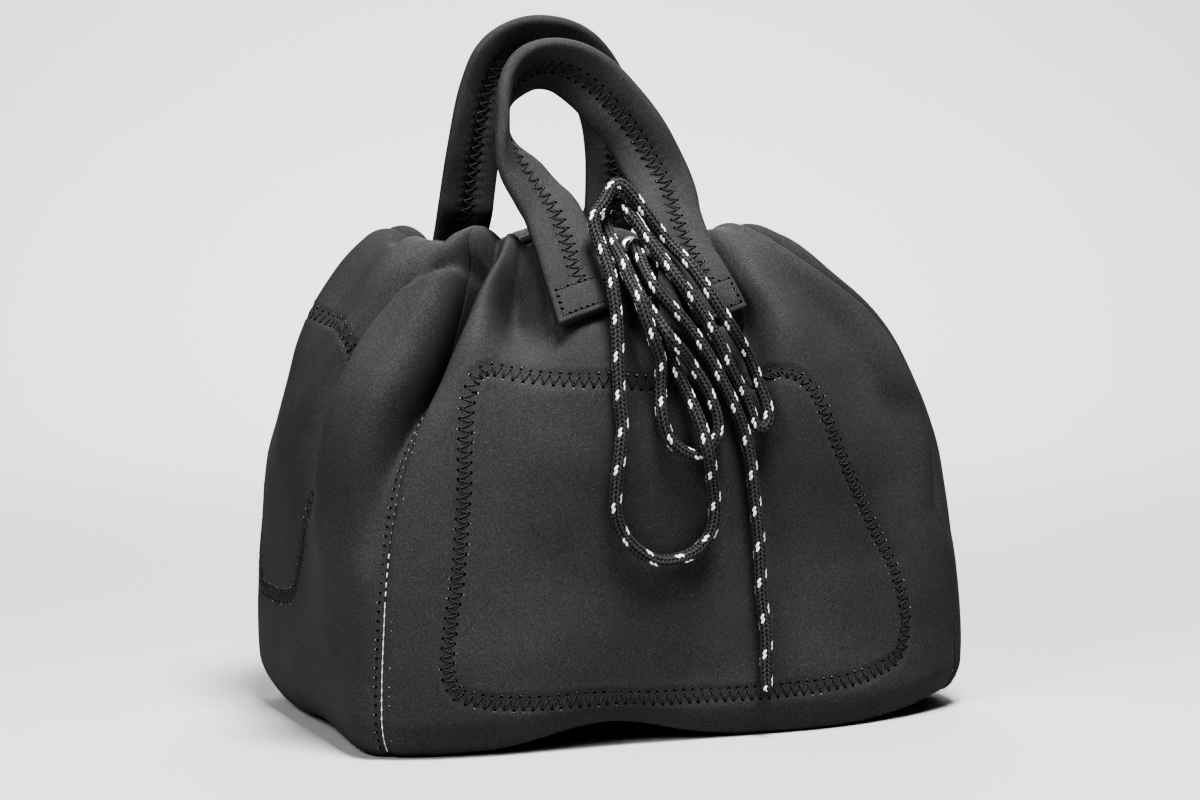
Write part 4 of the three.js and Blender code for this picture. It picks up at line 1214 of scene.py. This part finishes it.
def pocket(name):
    piece, a, b = grid_piece(name + "_cloth", 60, 60)
    low_left, low_right, high_right, high_left = (np.array(c) for c in pocket_corners[name])
    a, b = a[:, None], b[:, None]
    low = low_left * (1 - a) + low_right * a
    high = high_left * (1 - a) + high_right * a
    u, v = (low * (1 - b) + high * b).T
    lift = deepest_near(u, v) + lining_lift - .0012
    points = smooth_bag(u, v) + bag_frame(u, v)[2] * lift[:, None]
    rebuilt(piece, points + cloth_normal(u, v) * (wander(points, .03, 6.1) * .0006)[:, None])
    area = sum(p.area for p in piece.data.polygons)
    thicken(piece, lining_thickness, edge=.0005)
    finish(piece, lining, "bag", name, slot="lining")
    return piece, area


def floor():
    piece, i, j = grid_piece("floor_cloth", 110, 80)
    a, b = i * 2 - 1, j * 2 - 1
    reach = np.maximum(np.abs(a), np.abs(b))
    safe = np.maximum(reach, 1e-6)
    qa, qb = a / safe, b / safe
    front, right, back = (qb <= -1 + 1e-9), (qa >= 1 - 1e-9), (qb >= 1 - 1e-9)
    u = np.where(front, (qa + 1) / 2, np.where(right, 1 + (qb + 1) / 2, np.where(
        back, 2 + (1 - qa) / 2, 3 + (1 - qb) / 2)))
    edge = smooth_bag(u, np.zeros_like(u))
    inward = 1 - .00096 / np.linalg.norm(edge[:, :2], axis=1)
    points = edge * (reach * inward)[:, None]
    points[:, 2] = edge[:, 2] * np.maximum(0, (reach - .62) / .38) ** 2
    sag = wander(points, .05, 8.3) * .0006 * (1 - ease(.7, 1, reach))
    points[:, 2] += np.abs(sag)
    rebuilt(piece, points)
    area = sum(p.area for p in piece.data.polygons)
    thicken(piece, wall_thickness, offset=1.0, edge=.0006)
    finish(piece, neoprene, "bag", "floor_panel", slot="neoprene")
    return piece, area


facing_piece, facing_area = hem_facing()
pockets = {name: pocket(name) for name in pocket_corners}
floor_piece, floor_area = floor()


# The rest of the drawcord, which runs round the mouth in its hem, and the two eyelets
channel_lifts = (.00155, -.001, -.0035, -.0055, -.008)


def held_cord():
    start = [eyelet_point(eyelets["eyelet_tail"], lift) for lift in channel_lifts]
    end = [eyelet_point(eyelets["eyelet_loops"], lift) for lift in channel_lifts]
    u = np.linspace(.585, 4.312, 45)
    v = np.full_like(u, .97)
    ring = smooth_bag(u, v) + bag_frame(u, v)[2] * -.00805
    line = evenly(smoothed(route_through(start + ring.tolist() + end[::-1], .001), 3), .0012)
    return finish(rope("drawcord_held", line, 16), rope_braid, "bag", "drawcord_channel", slot="cord")


held_cord()

# Radius and height round one eyelet: the bore, the rolled lip, the flange, the neck and the back flange
eyelet_section = [
    (.0034, -.0042), (.0034, -.0020), (.0034, .0000), (.00345, .0006), (.0036, .00095), (.0039, .00115),
    (.0043, .00118), (.0048, .00105), (.0054, .00078), (.0059, .00048), (.00618, .0002), (.00625, -.00005),
    (.0061, -.00025), (.0054, -.0003), (.0044, -.0003), (.0043, -.0012), (.0043, -.0030), (.0043, -.0040),
    (.0050, -.0042), (.0058, -.0043), (.0060, -.0045), (.0058, -.00465), (.0048, -.00465), (.0038, -.0046),
]


def eyelet(name, spot):
    section = np.array(eyelet_section)
    piece, step, around = tube_piece(name + "_ring", len(section), 65)
    turn = 2 * np.pi * around / 64
    centre = eyelet_point(spot, 0)
    out = unit(eyelet_point(spot, .001) - centre)
    side = unit(np.cross((0, 0, 1.0), out))
    up = np.cross(out, side)
    radius, high = section[step].T
    points = (centre + side * (radius * np.cos(turn))[:, None] + up * (radius * np.sin(turn))[:, None]
              + out * high[:, None])
    rebuilt(piece, points)
    close_tube(piece)
    apply(piece, "SUBSURF", levels=1, render_levels=1)
    return finish(piece, nickel, "bag", name, slot="eyelet_metal")


for name, spot in eyelets.items():
    eyelet(name, spot)


# How wide and tall each wall and pocket cloth is along the bag; the numbers are not used further
def line_length(u, v):
    return float(np.linalg.norm(np.diff(on_bag(u, v), axis=0), axis=1).sum())


for side, name in enumerate(("front_wall", "right_wall", "back_wall", "left_wall")):
    cloth, area = walls[name]
    across = np.linspace(side, side + 1, 200)
    wide = max(line_length(across, np.full(200, level)) for level in (.08, .25, .45, .6))
    tall = line_length(np.full(200, side + .5), np.linspace(0, 1, 200))
for name, (cloth, area) in pockets.items():
    low_left, low_right, _, high_left = pocket_corners[name]
    wide = line_length(np.linspace(low_left[0], low_right[0], 50), np.full(50, low_left[1]))
    tall = line_length(np.full(50, low_left[0]), np.linspace(low_left[1], high_left[1], 50))


# Pale paper sweep: a floor that curves up behind the bag, square to the camera
away = unit(-np.array((toward_camera.x, toward_camera.y, 0)))
sideways = np.cross(away, (0, 0, 1.0))
sweep_start = 1.15
sweep_radius = .8
sweep_width = 3.2
ground, i, j = grid_piece("paper_sweep", 4, 160)
ground_run = j * 12 - 5
bend = np.clip((ground_run - sweep_start) / sweep_radius, 0, math.pi / 2)
climb = np.maximum(ground_run - sweep_start - sweep_radius * math.pi / 2, 0)
depth = np.minimum(ground_run, sweep_start) + sweep_radius * np.sin(bend)
rise = sweep_radius * (1 - np.cos(bend)) + climb
across = (i - .5) * sweep_width
laid_out = away * depth[:, None] + sideways * across[:, None] + np.array((0, 0, 1.0)) * rise[:, None]
rebuilt(ground, laid_out)
paper = Paint("paper")
paper.shade({"Base Color": (.5, .5, .505, 1), "Roughness": .9})
ground.data.materials.append(paper.material)
only(ground)
bpy.ops.object.shade_smooth()


def softbox(name, place, size, power, aim=(0, 0, .12), spread=180):
    bpy.ops.object.light_add(type="AREA", location=place)
    lamp = bpy.context.object
    lamp.name = name
    lamp.data.shape = "RECTANGLE"
    lamp.data.size, lamp.data.size_y = size
    lamp.data.energy = power
    lamp.data.spread = math.radians(spread)
    lamp.rotation_euler = (Vector(aim) - Vector(place)).to_track_quat("-Z", "Y").to_euler()


softbox("overhead", (-.02, -.52, 1.5), (.5, .42), 48)
softbox("left_window", (-1.25, -.75, 1.05), (.6, .6), 18)
softbox("back_fill", (.5, 1.2, 1.1), (.7, .5), 7)
softbox("backdrop_wash", (.75, 1.5, 2.5), (2.4, .8), 80, (1.1, 2.5, .3), 110)
world = bpy.context.scene.world or bpy.data.worlds.new("studio")
bpy.context.scene.world = world
world.use_nodes = True
world.node_tree.nodes["Background"].inputs[0].default_value = (.86, .86, .87, 1)
world.node_tree.nodes["Background"].inputs[1].default_value = .06

bpy.context.scene.view_settings.look = "AgX - High Contrast"
